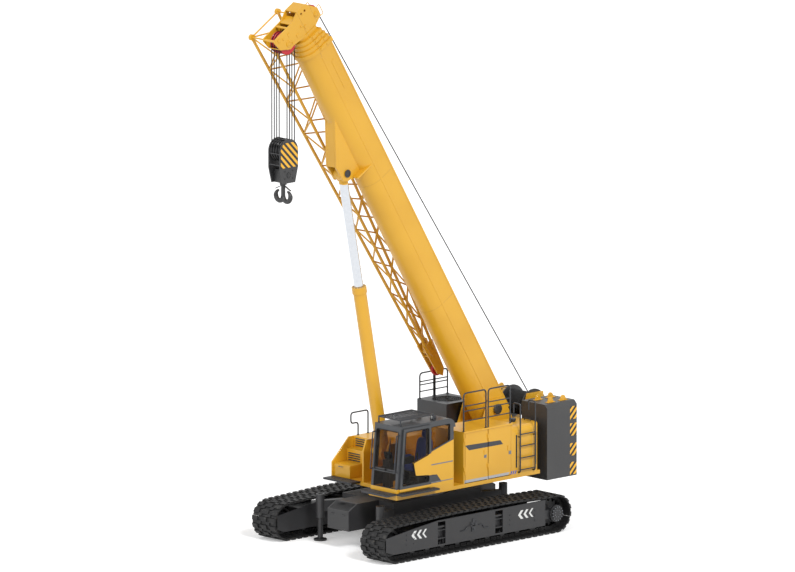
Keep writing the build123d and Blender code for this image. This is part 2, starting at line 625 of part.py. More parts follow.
def front_x(z):
    """Outer face of the raked windscreen at a height."""
    return CAB_FRONT + (CAB_ROOF_FRONT - CAB_FRONT) * (z - CAB_Z0) / (CAB_TOP - CAB_Z0)


def pane(x0, x1, z0, z1, y0, y1, inset):
    """A window from x0 forward, its front edge along the windscreen where x1 is None."""
    low = front_x(z0) - inset if x1 is None else x1
    high = front_x(z1) - inset if x1 is None else x1
    return plate([(x0, z0), (low, z0), (high, z1), (x0, z1)], y0, y1)


def side_wall(y0, y1):
    """Whole side of the cab, with its upper rear corner rounded."""
    wall = plate([(0, CAB_Z0), (front_x(CAB_Z0) - CAB_WALL, CAB_Z0), (front_x(ROOF_Z) - CAB_WALL, ROOF_Z), (0, ROOF_Z)],
                 y0, y1)
    return fillet(wall.edges().filter_by(Axis.Y).sort_by(Axis.X)[:2].sort_by(Axis.Z)[-1:], CAB_CORNER)


def cab_left():
    """Left side: door opening in front, quarter window behind, rail for the sliding door."""
    y0, y1 = CAB_LEFT - CAB_WALL, CAB_LEFT
    wall = side_wall(y0, y1)
    wall -= pane(DOOR_REAR + PILLAR, None, CAB_Z0 + PILLAR, HEAD_Z, y0 - 1, y1 + 1, CAB_WALL + PILLAR)
    return wall - pane(PILLAR * 1.6, DOOR_REAR - PILLAR / 2, SILL_Z + PILLAR * 3, HEAD_Z, y0 - 1, y1 + 1, 0)


def cab_right():
    y0, y1 = CAB_RIGHT, CAB_RIGHT + CAB_WALL
    wall = side_wall(y0, y1)
    return wall - pane(PILLAR * 1.6, None, SILL_Z, HEAD_Z, y0 - 1, y1 + 1, CAB_WALL + PILLAR)


def cab_front():
    """Raked frame round the windscreen and the lower pane."""
    outer = [(front_x(CAB_Z0) - CAB_WALL, CAB_Z0), (front_x(CAB_Z0), CAB_Z0),
             (front_x(ROOF_Z), ROOF_Z), (front_x(ROOF_Z) - CAB_WALL, ROOF_Z)]
    frame = plate(outer, CAB_RIGHT, CAB_LEFT)
    for z0, z1 in front_panes():
        frame -= box(0, CAB_FRONT + CAB_WALL, CAB_RIGHT + PILLAR, CAB_LEFT - PILLAR, z0, z1)
    return frame


def front_panes():
    return ((CAB_Z0 + PILLAR, SILL_Z - PILLAR / 2), (SILL_Z + PILLAR / 2, HEAD_Z))


def rear_window(x0, x1, grow):
    return box(x0, x1, CAB_RIGHT + CAB_WALL + PILLAR - grow, CAB_LEFT - CAB_WALL - PILLAR + grow,
               SILL_Z + PILLAR * 3 - grow, HEAD_Z - CAB_CORNER / 2 + grow)


def cab_rear():
    wall = box(0, CAB_WALL, CAB_RIGHT + CAB_WALL, CAB_LEFT - CAB_WALL, CAB_Z0, ROOF_Z - CAB_CORNER)
    return wall - rear_window(-1, CAB_WALL + 1, 0)


def cab_roof():
    """Roof panel that turns down into the rear wall in a round corner."""
    roof = box(0, front_x(ROOF_Z), CAB_RIGHT, CAB_LEFT, ROOF_Z, CAB_TOP)
    bend_x = CAB_CORNER
    inner = ROOF_Z - CAB_CORNER
    corner = disc(bend_x, inner, CAB_RIGHT, CAB_LEFT, CAB_CORNER + CAB_WALL)
    corner -= disc(bend_x, inner, CAB_RIGHT - 1, CAB_LEFT + 1, CAB_CORNER)
    corner &= box(-CAB_WALL * 2, bend_x, CAB_RIGHT - 1, CAB_LEFT + 1, inner, CAB_TOP + 1)
    flat = box(bend_x, front_x(ROOF_Z), CAB_RIGHT, CAB_LEFT, ROOF_Z, CAB_TOP)
    return flat + corner


def cab_glass():
    """Panes set in the middle of their walls."""
    middle = (CAB_WALL - GLASS) / 2
    left = CAB_LEFT - CAB_WALL + middle
    right = CAB_RIGHT + middle
    panes = [pane(PILLAR * 1.6, DOOR_REAR - PILLAR / 2, SILL_Z + PILLAR * 3, HEAD_Z, left, left + GLASS, 0),
             pane(PILLAR * 1.6, None, SILL_Z, HEAD_Z, right, right + GLASS, CAB_WALL + PILLAR),
             rear_window(middle, middle + GLASS, 0)]
    for z0, z1 in front_panes():
        outline = [(front_x(z0) - middle - GLASS, z0), (front_x(z0) - middle, z0),
                   (front_x(z1) - middle, z1), (front_x(z1) - middle - GLASS, z1)]
        panes.append(plate(outline, CAB_RIGHT + PILLAR, CAB_LEFT - PILLAR))
    return group(*panes)


DOOR_Y = CAB_LEFT + MOVE_GAP


def cab_door():
    """Sliding door outside the left wall: frame, and a shoe that runs on the rail."""
    y1 = DOOR_Y + DOOR_THICKNESS
    door = pane(DOOR_REAR, None, CAB_Z0 + GLASS, ROOF_Z, DOOR_Y, y1, CAB_WALL)
    door -= pane(DOOR_REAR + PILLAR, None, SILL_Z, HEAD_Z, DOOR_Y - 1, y1 + 1, CAB_WALL + PILLAR)
    shoe_z = SILL_Z + PILLAR
    shoe = box(DOOR_REAR, DOOR_REAR + PILLAR, CAB_LEFT + SEAT, DOOR_Y, shoe_z, shoe_z + RAIL_RADIUS * 2)
    return door + shoe


def door_glass():
    y0 = DOOR_Y + (DOOR_THICKNESS - GLASS) / 2
    return pane(DOOR_REAR + PILLAR, None, SILL_Z, HEAD_Z, y0, y0 + GLASS, CAB_WALL + PILLAR)


SEAT_X = 560                 # back of the seat cushion
SEAT_WIDTH = 520
SEAT_HEIGHT = 480


def seat():
    """Cushion, back and head rest on a pedestal."""
    y0 = (CAB_LEFT + CAB_RIGHT - SEAT_WIDTH) / 2
    y1 = y0 + SEAT_WIDTH
    cushion = box(SEAT_X, SEAT_X + SEAT_WIDTH, y0, y1, CAB_Z0 + SEAT_HEIGHT - 130, CAB_Z0 + SEAT_HEIGHT)
    back = plate([(SEAT_X, CAB_Z0 + SEAT_HEIGHT - 130), (SEAT_X + 130, CAB_Z0 + SEAT_HEIGHT - 130),
                  (SEAT_X, CAB_Z0 + SEAT_HEIGHT + 620), (SEAT_X - 130, CAB_Z0 + SEAT_HEIGHT + 620)], y0, y1)
    stand = box(SEAT_X + 120, SEAT_X + 420, y0 + 110, y1 - 110, CAB_Z0, CAB_Z0 + SEAT_HEIGHT - 100)
    return fuse([cushion, back, stand])


def consoles():
    """Arm consoles beside the seat and the instrument post in front."""
    gap = SEAT_WIDTH / 2 + 20
    y = (CAB_LEFT + CAB_RIGHT) / 2
    arms = [box(SEAT_X + 60, SEAT_X + 560, y + side * gap, y + side * (gap + 90), CAB_Z0, CAB_Z0 + SEAT_HEIGHT + 150)
            for side in (-1, 1)]
    dash = box(SEAT_X + 900, SEAT_X + 1020, CAB_RIGHT + CAB_WALL + 30, CAB_RIGHT + CAB_WALL + 260, CAB_Z0, SILL_Z + 180)
    return group(*arms, dash)


NODES["cab_floor"] = box(0, CAB_FRONT, CAB_RIGHT, CAB_LEFT, DECK_TOP, CAB_Z0)
NODES["cab_left_side"] = cab_left()
NODES["cab_right_side"] = cab_right()
NODES["cab_front"] = cab_front()
NODES["cab_rear"] = cab_rear()
NODES["cab_roof"] = cab_roof()
NODES["cab_glass"] = cab_glass()
NODES["cab_door"] = cab_door()
NODES["cab_door_glass"] = door_glass()
NODES["seat"] = seat()
NODES["consoles"] = consoles()


# Rails, ladder, roof guard and lamps
def rail_panel(x0, x1, y, z):
    """Two posts and their level bars."""
    top = z + RAIL_HEIGHT
    posts = [post(x, y, z, top, RAIL_RADIUS) for x in (x0, x1)]
    bars = [rod((x0, y, z + RAIL_HEIGHT * (bar + 1) / RAIL_BARS - RAIL_RADIUS),
                (x1, y, z + RAIL_HEIGHT * (bar + 1) / RAIL_BARS - RAIL_RADIUS), RAIL_RADIUS) for bar in range(RAIL_BARS)]
    return fuse(posts + bars)


rail_inset = RAIL_RADIUS * 2
rail_middle = (COOLER_FRONT + RIGHT_STEP_X) / 2
NODES["handrails"] = group(
    rail_panel(LEAF_SPLIT + rail_inset, HOUSING_FRONT - rail_inset, DECK_LEFT_Y - rail_inset, HOUSING_TOP),
    rail_panel(HOUSING_REAR + rail_inset, LEAF_SPLIT - rail_inset, DECK_LEFT_Y - rail_inset, HOUSING_TOP),
    rail_panel(COOLER_FRONT + rail_inset, rail_middle - rail_inset, -DECK_RIGHT_Y + rail_inset, RIGHT_TOP),
    rail_panel(rail_middle + rail_inset, RIGHT_STEP_X - rail_inset, -DECK_RIGHT_Y + rail_inset, RIGHT_TOP))

LADDER_X = (-2710, -2230)
LADDER_TOP = 3160
LADDER_BOTTOM = 1460
LADDER_RUNGS = 5
LADDER_OUT = 70              # ladder's rails outside the tank


def ladder():
    """Two rails, rungs, and stand-offs that hold it on the tank."""
    y = DECK_LEFT_Y + LADDER_OUT
    rails = [post(x, y, LADDER_BOTTOM, LADDER_TOP, RAIL_RADIUS) for x in LADDER_X]
    step = (TANK_TOP - LADDER_BOTTOM) / LADDER_RUNGS
    rungs = [rod((LADDER_X[0], y, LADDER_BOTTOM + step * (i + 0.5)), (LADDER_X[1], y, LADDER_BOTTOM + step * (i + 0.5)),
                 RAIL_RADIUS) for i in range(LADDER_RUNGS)]
    holds = [rod((x, DECK_LEFT_Y, z), (x, y, z), RAIL_RADIUS)
             for x in LADDER_X for z in (LADDER_BOTTOM + step / 2, TANK_TOP - TANK_ROUND - step / 2)]
    return fuse(rails + rungs + holds)


GUARD_RISE = 150


def roof_guard():
    """Mesh guard over the roof window: a flat frame with bars, on four feet."""
    x0, x1 = CAB_ROOF_FRONT * 0.35, CAB_ROOF_FRONT * 0.97
    y0, y1 = CAB_RIGHT + PILLAR, CAB_LEFT - PILLAR
    z = CAB_TOP + GUARD_RISE
    corners = [(x0, y0, z), (x1, y0, z), (x1, y1, z), (x0, y1, z)]
    sides = [rod(corners[i], corners[(i + 1) % 4], RAIL_RADIUS) for i in range(4)]
    balls = [Pos(*corner) * Sphere(RAIL_RADIUS) for corner in corners]
    feet = [post(x, y, CAB_TOP, z, RAIL_RADIUS) for x, y, _ in corners]
    bars = [rod((x0, y0 + (y1 - y0) * i / 6, z), (x1, y0 + (y1 - y0) * i / 6, z), RAIL_RADIUS / 2) for i in range(1, 6)]
    return fuse(sides + balls + feet + bars)


BAR_SEAT = 2                 # level end of a bar on the raked pillar


def grab_bars():
    """Bent bars beside the windscreen, on the front pillars."""
    bars = []
    out = 90
    for y in (CAB_RIGHT + PILLAR / 2, CAB_LEFT - PILLAR / 2):
        low, high = CAB_Z0 + SILL, HEAD_Z - PILLAR
        points = [(front_x(low) + BAR_SEAT, y, low), (front_x(low) + out, y, low),
                  (front_x(high) + out, y, high), (front_x(high) + BAR_SEAT, y, high)]
        bars.append(fuse([rod(points[i], points[i + 1], RAIL_RADIUS * 0.8) for i in range(3)]
                         + [Pos(*points[i]) * Sphere(RAIL_RADIUS * 0.8) for i in (1, 2)]))
    return group(*bars)


STEP_DEPTH = 320


def steps():
    """Step plates ahead of the cab and beside the right housing's front."""
    front = box(CAB_FRONT, CAB_FRONT + STEP_DEPTH, CAB_RIGHT, CAB_LEFT, DECK_BOTTOM, DECK_BOTTOM + 45)
    side = box(DECK_RIGHT_FRONT, DECK_RIGHT_FRONT + STEP_DEPTH, -DECK_RIGHT_Y, -HOUSING_IN, DECK_BOTTOM, DECK_BOTTOM + 45)
    return group(front, side)


LAMP = 70                    # half width of a work lamp


def lamps():
    """Two work lamps on the cab roof's front edge and one on the right housing."""
    def lamp(x, y, z):
        return fillet(box(x - LAMP, x + LAMP, y - LAMP, y + LAMP, z, z + LAMP * 2).edges(), LAMP / 5)
    y = PILLAR * 2.6
    return group(lamp(CAB_ROOF_FRONT - LAMP * 6, CAB_LEFT - y, CAB_TOP), lamp(CAB_ROOF_FRONT - LAMP * 6, CAB_RIGHT + y, CAB_TOP),
                 lamp(DECK_RIGHT_FRONT - LAMP * 2, -DECK_RIGHT_Y + LAMP * 2, RIGHT_STEP_TOP))


NODES["ladder"] = ladder()
NODES["cab_guards"] = group(roof_guard(), grab_bars())
NODES["steps"] = steps()
NODES["lamps"] = lamps()


# Boom: drawn lying level from its foot pin, then raised and set on the pin
BOOM_PLACE = Pos(FOOT_X, 0, FOOT_Z) * Rot(0, -BOOM_ANGLE, 0)
BELLY_N = BOOM_TOP - BOOM_SIDE


def boom_face(inset):
    """Flat top and sides, rounded belly: a rectangle over half an ellipse."""
    half = BOOM_WIDTH / 2 - inset
    side = BOOM_SIDE - inset
    return Pos(0, BELLY_N) * Ellipse(half, BOOM_BELLY - inset) + Pos(0, BELLY_N + side / 2) * Rectangle(half * 2, side)


def boom_prism(inset, s0, s1):
    return extrude(Plane.YZ.offset(s0) * boom_face(inset), s1 - s0, dir=(1, 0, 0))


def boom_tube(step, s0, s1):
    """A section's tube, with the collar that guides the next section at its outer end."""
    inset = step * BOOM_STEP
    tube = boom_prism(inset, s0, s1) - boom_prism(inset + BOOM_WALL, s0 - 1, s1 + 1)
    collar = boom_prism(inset - COLLAR_PROUD, s1 - COLLAR_LENGTH, s1)
    guide = boom_prism(inset + BOOM_STEP - SEAT, s1 - COLLAR_LENGTH - 1, s1 + 1)
    return tube + (collar - guide)


def bracket_pair(s, n, radius, gap, thickness):
    """Two lugs under the boom with the luffing cylinder's pin."""
    lugs = []
    for y in (gap, -gap - thickness):
        lug = plate([(s - radius * 2, BELLY_N - BOOM_BELLY * 0.6), (s + radius * 2, BELLY_N - BOOM_BELLY * 0.6),
                     (s + radius, n), (s - radius, n)], y, y + thickness)
        lug += disc(s, n, y, y + thickness, radius)
        lug -= boom_prism(BOOM_WALL, s - radius * 3, s + radius * 3)
        lugs.append(lug)
    reach = gap + thickness + BOOM_WALL
    return lugs + [disc(s, n, -reach, reach, LUFF_PIN)]


def boom_base():
    """Outermost section, its foot on the pin, its lugs for the luffing cylinder."""
    tube = boom_tube(0, BOOM_REAR, BOOM_END)
    doubler = FOOT_PIN * 2
    inside = BOOM_WIDTH / 2 - BOOM_WALL
    for y in (inside - BOOM_WALL * 2, -inside):
        tube += box(BOOM_REAR, doubler, y, y + BOOM_WALL * 2, -doubler, doubler)
    tube -= disc(0, 0, -BOOM_WIDTH, BOOM_WIDTH, FOOT_PIN + PIN_FIT)
    lugs = bracket_pair(LUFF_S, LUFF_N, LUFF_EYE, LUFF_EYE_WIDTH / 2 + MOVE_GAP, BOOM_WALL * 4)
    return fuse([tube] + lugs + jib_hangers())


SECTIONS = ("boom_section_2", "boom_section_3", "boom_section_4")
for step, name in enumerate(SECTIONS, start=1):
    NODES[name] = BOOM_PLACE * boom_tube(step, SECTION_REAR, BOOM_END + step * COLLAR_LENGTH)
TIP_STEP = len(SECTIONS) + 1
TIP_INSET = TIP_STEP * BOOM_STEP
HEAD_S = BOOM_END + TIP_STEP * COLLAR_LENGTH
HEAD_END = HEAD_S + HEAD_LENGTH
HEAD_HALF = SHEAVE_COUNT * SHEAVE_PITCH / 2 + MOVE_GAP
AXLE_RADIUS = 50
JIB_BORE_S = HEAD_END - HEAD_PLATE - JIB_BORE * 3
JIB_BORE_N = (BELLY_N + JIB_BORE * 3, BOOM_TOP - TIP_INSET - JIB_BORE * 3)


def sheave(x, y, z, radius):
    """Grooved pulley, cut for its axle."""
    half = SHEAVE_THICKNESS / 2
    profile = [(AXLE_RADIUS + PIN_FIT, -half), (radius + GROOVE, -half), (radius, -ROPE_RADIUS / 2),
               (radius, ROPE_RADIUS / 2), (radius + GROOVE, half), (AXLE_RADIUS + PIN_FIT, half)]
    ring = revolve(make_face(Polyline(*profile, close=True)), axis=Axis.Y)
    return Pos(x, y, z) * ring


def sheave_row():
    return [(i - (SHEAVE_COUNT - 1) / 2) * SHEAVE_PITCH for i in range(SHEAVE_COUNT)]


def boom_tip():
    """Innermost section with its head: two cheek plates, cross plates and the sheaves' axles."""
    tube = boom_prism(TIP_INSET, SECTION_REAR, HEAD_S) - boom_prism(TIP_INSET + BOOM_WALL, SECTION_REAR - 1, HEAD_S + 1)
    low = HEAD_SHEAVE_N - AXLE_RADIUS * 2.2
    high = GUIDE_SHEAVE_N + AXLE_RADIUS * 2.2
    outline = [(HEAD_S - COLLAR_LENGTH * 0.2, BOOM_TOP - TIP_INSET), (HEAD_S - COLLAR_LENGTH * 0.2, BELLY_N - BOOM_BELLY / 2),
               (HEAD_SHEAVE_S - AXLE_RADIUS * 2.2, low), (HEAD_SHEAVE_S + AXLE_RADIUS * 2.2, low),
               (HEAD_END, BELLY_N), (HEAD_END, BOOM_TOP - TIP_INSET),
               (GUIDE_SHEAVE_S + AXLE_RADIUS * 2.2, high), (GUIDE_SHEAVE_S - AXLE_RADIUS * 2.2, high)]
    cheeks = []
    for y in (HEAD_HALF, -HEAD_HALF - HEAD_PLATE):
        holes = [disc(JIB_BORE_S, n, y - 1, y + HEAD_PLATE + 1, JIB_BORE) for n in JIB_BORE_N]
        cheeks.append(plate(outline, y, y + HEAD_PLATE) - holes)
    web = box(HEAD_S - COLLAR_LENGTH * 0.2, HEAD_S + HEAD_PLATE, -HEAD_HALF, HEAD_HALF, BELLY_N - BOOM_BELLY / 2, BOOM_TOP - TIP_INSET)
    brow = box(HEAD_END - HEAD_PLATE, HEAD_END, -HEAD_HALF, HEAD_HALF, BELLY_N, BOOM_TOP - TIP_INSET)
    axles = [disc(s, n, -HEAD_HALF, HEAD_HALF, AXLE_RADIUS)
             for s, n in ((HEAD_SHEAVE_S, HEAD_SHEAVE_N), (GUIDE_SHEAVE_S, GUIDE_SHEAVE_N))]
    return fuse([tube] + cheeks + [web, brow] + axles)


NODES["boom_tip"] = BOOM_PLACE * boom_tip()
NODES["head_sheaves"] = BOOM_PLACE * group(*[sheave(HEAD_SHEAVE_S, y, HEAD_SHEAVE_N, SHEAVE_RADIUS) for y in sheave_row()])
NODES["guide_sheave"] = BOOM_PLACE * sheave(GUIDE_SHEAVE_S, 0, GUIDE_SHEAVE_N, GUIDE_RADIUS)

# Luffing cylinder, drawn lying level from its base pin
LUFF_PLACE = Pos(BASE_PIN_X, 0, BASE_PIN_Z) * Rot(0, -LUFF_TILT, 0)
BORE_START = LUFF_EYE * 1.6


def bar(s0, s1, radius):
    """A round bar along the cylinder's axis."""
    return Pos((s0 + s1) / 2, 0, 0) * Rot(0, 90, 0) * Cylinder(radius, s1 - s0)


def luff_barrel():
    """Base eye with its pin, barrel with the gland at its end, hollow for the rod."""
    eye = disc(0, 0, -LUFF_EYE_WIDTH / 2, LUFF_EYE_WIDTH / 2, LUFF_EYE)
    trunnion = disc(0, 0, -SLOT_HALF + MOVE_GAP * 2, SLOT_HALF - MOVE_GAP * 2, LUFF_PIN)
    tube = bar(LUFF_EYE * 0.7, LUFF_GLAND, LUFF_BARREL)
    gland = bar(LUFF_GLAND - LUFF_BARREL, LUFF_GLAND, LUFF_BARREL * 1.12)
    return fuse([tube, eye, trunnion, gland]) - bar(BORE_START, LUFF_GLAND + 1, LUFF_ROD + PIN_FIT)


def luff_rod():
    """Chromed rod with the eye at its end."""
    eye = disc(LUFF_LENGTH, 0, -LUFF_EYE_WIDTH / 2, LUFF_EYE_WIDTH / 2, LUFF_EYE)
    return bar(LUFF_GLAND - LUFF_INSIDE, LUFF_LENGTH - LUFF_EYE / 2, LUFF_ROD) + eye - disc(
        LUFF_LENGTH, 0, -LUFF_EYE_WIDTH, LUFF_EYE_WIDTH, LUFF_PIN + PIN_FIT)


NODES["luff_barrel"] = LUFF_PLACE * luff_barrel()
NODES["luff_rod"] = LUFF_PLACE * luff_rod()

# Hook block, hanging plumb under the head sheaves
HOOK_X = FOOT_X + HEAD_SHEAVE_S * BOOM_COS - HEAD_SHEAVE_N * BOOM_SIN
HEAD_Z0 = FOOT_Z + HEAD_SHEAVE_S * BOOM_SIN + HEAD_SHEAVE_N * BOOM_COS
BLOCK_Z = HEAD_Z0 - BLOCK_DROP
BLOCK_TOP = BLOCK_Z + SHEAVE_RADIUS + GROOVE + ROPE_RADIUS * 2
BLOCK_LOW = BLOCK_TOP - BLOCK_HEIGHT
HOOK_LOW = BLOCK_Z - HOOK_DROP


def rope_falls():
    """Eight straight falls, from the sides of the head sheaves to those of the block."""
    return group(*[post(HOOK_X + side * (SHEAVE_RADIUS + ROPE_RADIUS + SEAT), y, BLOCK_Z, HEAD_Z0, ROPE_RADIUS)
                   for y in sheave_row() for side in (-1, 1)])


def hook_block():
    """Two cheek plates, the cross head between them below the sheaves, and the axle."""
    half = BLOCK_HALF_LENGTH
    trim = half * 0.45
    outline = [(HOOK_X - half, BLOCK_TOP - trim), (HOOK_X - half + trim, BLOCK_TOP), (HOOK_X + half - trim, BLOCK_TOP),
               (HOOK_X + half, BLOCK_TOP - trim), (HOOK_X + half, BLOCK_LOW + half), (HOOK_X + trim, BLOCK_LOW),
               (HOOK_X - trim, BLOCK_LOW), (HOOK_X - half, BLOCK_LOW + half)]
    cheeks = [plate(outline, y, y + BLOCK_PLATE) for y in (HEAD_HALF, -HEAD_HALF - BLOCK_PLATE)]
    head_top = BLOCK_Z - SHEAVE_RADIUS - GROOVE - MOVE_GAP * 4
    cross = box(HOOK_X - trim, HOOK_X + trim, -HEAD_HALF, HEAD_HALF, BLOCK_LOW, head_top)
    axle = disc(HOOK_X, BLOCK_Z, -HEAD_HALF, HEAD_HALF, AXLE_RADIUS)
    return fuse(cheeks + [cross, axle]) - post(HOOK_X, 0, BLOCK_LOW - 1, BLOCK_LOW + SHANK * 2, SHANK + PIN_FIT)


def hook():
    """Double hook: a shank and two horns, each three quarters of a ring."""
    ring = HOOK_HALF_WIDTH / 2
    centre_z = HOOK_LOW + HOOK_SECTION + ring
    shank = post(HOOK_X, 0, centre_z - ring, BLOCK_LOW + SHANK * 2 - SEAT, SHANK)
    horns = []
    for side in (-1, 1):
        torus = Pos(HOOK_X, side * ring, centre_z) * Rot(0, 90, 0) * Torus(ring, HOOK_SECTION)
        torus -= box(HOOK_X - ring, HOOK_X + ring, 0 if side < 0 else -ring * 4, ring * 4 if side < 0 else 0,
                     centre_z - ring * 2, centre_z + ring * 2)
        torus -= box(HOOK_X - ring, HOOK_X + ring, -ring * 4, ring * 4, centre_z + ring * 0.25, centre_z + ring * 2)
        horns.append(torus)
    return fuse([shank] + horns)


NODES["rope_falls"] = rope_falls()
NODES["hook_block"] = hook_block()
NODES["block_sheaves"] = group(*[sheave(HOOK_X, y, BLOCK_Z, SHEAVE_RADIUS) for y in sheave_row()])
NODES["hook"] = hook()


# Stowed lattice jib beside the boom
def jib_corner(share, high, far):
    """A chord's point, from the foot at 0 to the tapered end at 1."""
    def between(a, b):
        return a + (b - a) * share
    near_y = between(JIB_NEAR_Y, JIB_TIP_Y)
    width = between(JIB_FOOT_WIDTH, JIB_TIP_WIDTH)
    n = between(JIB_FOOT_HIGH, JIB_TIP_HIGH) if high else between(JIB_FOOT_LOW, JIB_TIP_LOW)
    return (between(JIB_FOOT_S, JIB_TIP_S), near_y - width if far else near_y, n)


def jib():
    """Four chords with zigzag lacing on all sides, a foot frame and a solid point with its sheave."""
    corners = [(False, False), (False, True), (True, True), (True, False)]
    chords = [rod(jib_corner(0, *c), jib_corner(1, *c), JIB_CHORD) for c in corners]
    laces = []
    for face in range(4):
        a, b = corners[face], corners[(face + 1) % 4]
        for bay in range(JIB_BAYS):
            ends = (a, b) if (bay + face) % 2 else (b, a)
            laces.append(rod(jib_corner(bay / JIB_BAYS, *ends[0]), jib_corner((bay + 1) / JIB_BAYS, *ends[1]), JIB_LACE))
        laces.append(rod(jib_corner(0, *a), jib_corner(0, *b), JIB_LACE))
    middle_y = JIB_TIP_Y - JIB_TIP_WIDTH / 2
    point = box(JIB_POINT_S, JIB_TIP_S + JIB_CHORD, JIB_TIP_Y - JIB_TIP_WIDTH - JIB_CHORD, JIB_TIP_Y + JIB_CHORD,
                JIB_TIP_LOW - JIB_CHORD, JIB_TIP_HIGH + JIB_CHORD)
    point -= box(JIB_POINT_S - 1, JIB_TIP_S - JIB_CHORD * 2, middle_y - JIB_TIP_WIDTH / 3, middle_y + JIB_TIP_WIDTH / 3,
                 JIB_TIP_LOW - JIB_CHORD * 2, JIB_TIP_HIGH + JIB_CHORD * 2)
    eyes = [disc(JIB_FOOT_S, jib_corner(0, *c)[2], jib_corner(0, *c)[1] - JIB_CHORD, jib_corner(0, *c)[1] + JIB_CHORD,
                 JIB_CHORD * 2) for c in corners]
    return fuse(chords + laces + [point] + eyes)


def jib_hangers():
    """Brackets between the boom's side and the jib's near chords."""
    hangers = []
    for s in JIB_HANGERS:
        share = (JIB_FOOT_S - s) / (JIB_FOOT_S - JIB_TIP_S)
        for high in (False, True):
            nearest = share - JIB_CHORD * 2 / (JIB_FOOT_S - JIB_TIP_S)
            y = jib_corner(nearest, high, False)[1]
            n = max(jib_corner(share, high, False)[2], BELLY_N + JIB_CHORD)
            hangers.append(box(s - JIB_CHORD * 2, s + JIB_CHORD * 2, y + JIB_CHORD + SEAT, -BOOM_WIDTH / 2 + BOOM_WALL / 2,
                               n - JIB_CHORD, n + JIB_CHORD))
    return hangers


NODES["boom_base"] = BOOM_PLACE * boom_base()
NODES["jib"] = BOOM_PLACE * jib()

os.makedirs("parts", exist_ok=True)
for node_name, shape in NODES.items():
    export_step(shape, f"parts/{node_name}.step")
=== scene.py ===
import json
from math import atan2, cos, hypot, pi, radians, sin

import bpy
import numpy as np
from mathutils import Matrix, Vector


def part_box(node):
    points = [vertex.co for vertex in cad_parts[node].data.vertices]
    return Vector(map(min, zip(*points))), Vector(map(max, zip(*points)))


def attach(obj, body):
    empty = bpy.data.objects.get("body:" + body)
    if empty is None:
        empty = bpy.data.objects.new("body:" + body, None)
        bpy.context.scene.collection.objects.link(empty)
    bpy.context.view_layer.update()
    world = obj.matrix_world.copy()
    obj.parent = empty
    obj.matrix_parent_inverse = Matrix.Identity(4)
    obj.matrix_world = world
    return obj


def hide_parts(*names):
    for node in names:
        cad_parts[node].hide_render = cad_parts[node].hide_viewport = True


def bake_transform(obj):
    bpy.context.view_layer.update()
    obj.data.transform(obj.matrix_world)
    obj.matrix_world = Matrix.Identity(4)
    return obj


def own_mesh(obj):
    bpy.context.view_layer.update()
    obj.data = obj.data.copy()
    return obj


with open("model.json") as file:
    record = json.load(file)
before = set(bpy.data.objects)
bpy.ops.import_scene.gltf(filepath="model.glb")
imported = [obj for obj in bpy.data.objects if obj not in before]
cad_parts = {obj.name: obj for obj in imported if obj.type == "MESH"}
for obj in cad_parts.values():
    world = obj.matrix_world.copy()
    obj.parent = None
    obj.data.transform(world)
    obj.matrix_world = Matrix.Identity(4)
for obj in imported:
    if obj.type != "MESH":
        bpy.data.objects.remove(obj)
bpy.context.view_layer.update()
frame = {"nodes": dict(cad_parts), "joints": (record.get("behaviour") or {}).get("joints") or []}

# Places taken from the frame, in metres: +X ahead, +Y to the crane's left, +Z up
JOINT = {joint["name"]: joint for joint in frame["joints"]}
LOW = {name: np.array(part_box(name)[0]) for name in frame["nodes"]}
HIGH = {name: np.array(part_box(name)[1]) for name in frame["nodes"]}
FOOT = np.array(JOINT["luff"]["pos_m"])
ALONG = np.array(JOINT["telescope"]["axis"])
ACROSS = np.array([0.0, 1.0, 0.0])
UPWARD = np.cross(ALONG, ACROSS)
HEAD = np.array(JOINT["head_pulleys_turn"]["pos_m"])
GUIDE = np.array(JOINT["guide_pulley_turn"]["pos_m"])
DRUM = np.array(JOINT["drum_turn"]["pos_m"])
BLOCK = np.array(JOINT["block_pulleys_turn"]["pos_m"])


def on_boom(s, n, y=0.0):
    """Point at s along the boom from its foot pin, n up from the pin line and y to the left."""
    return FOOT + ALONG * s + UPWARD * n + ACROSS * y


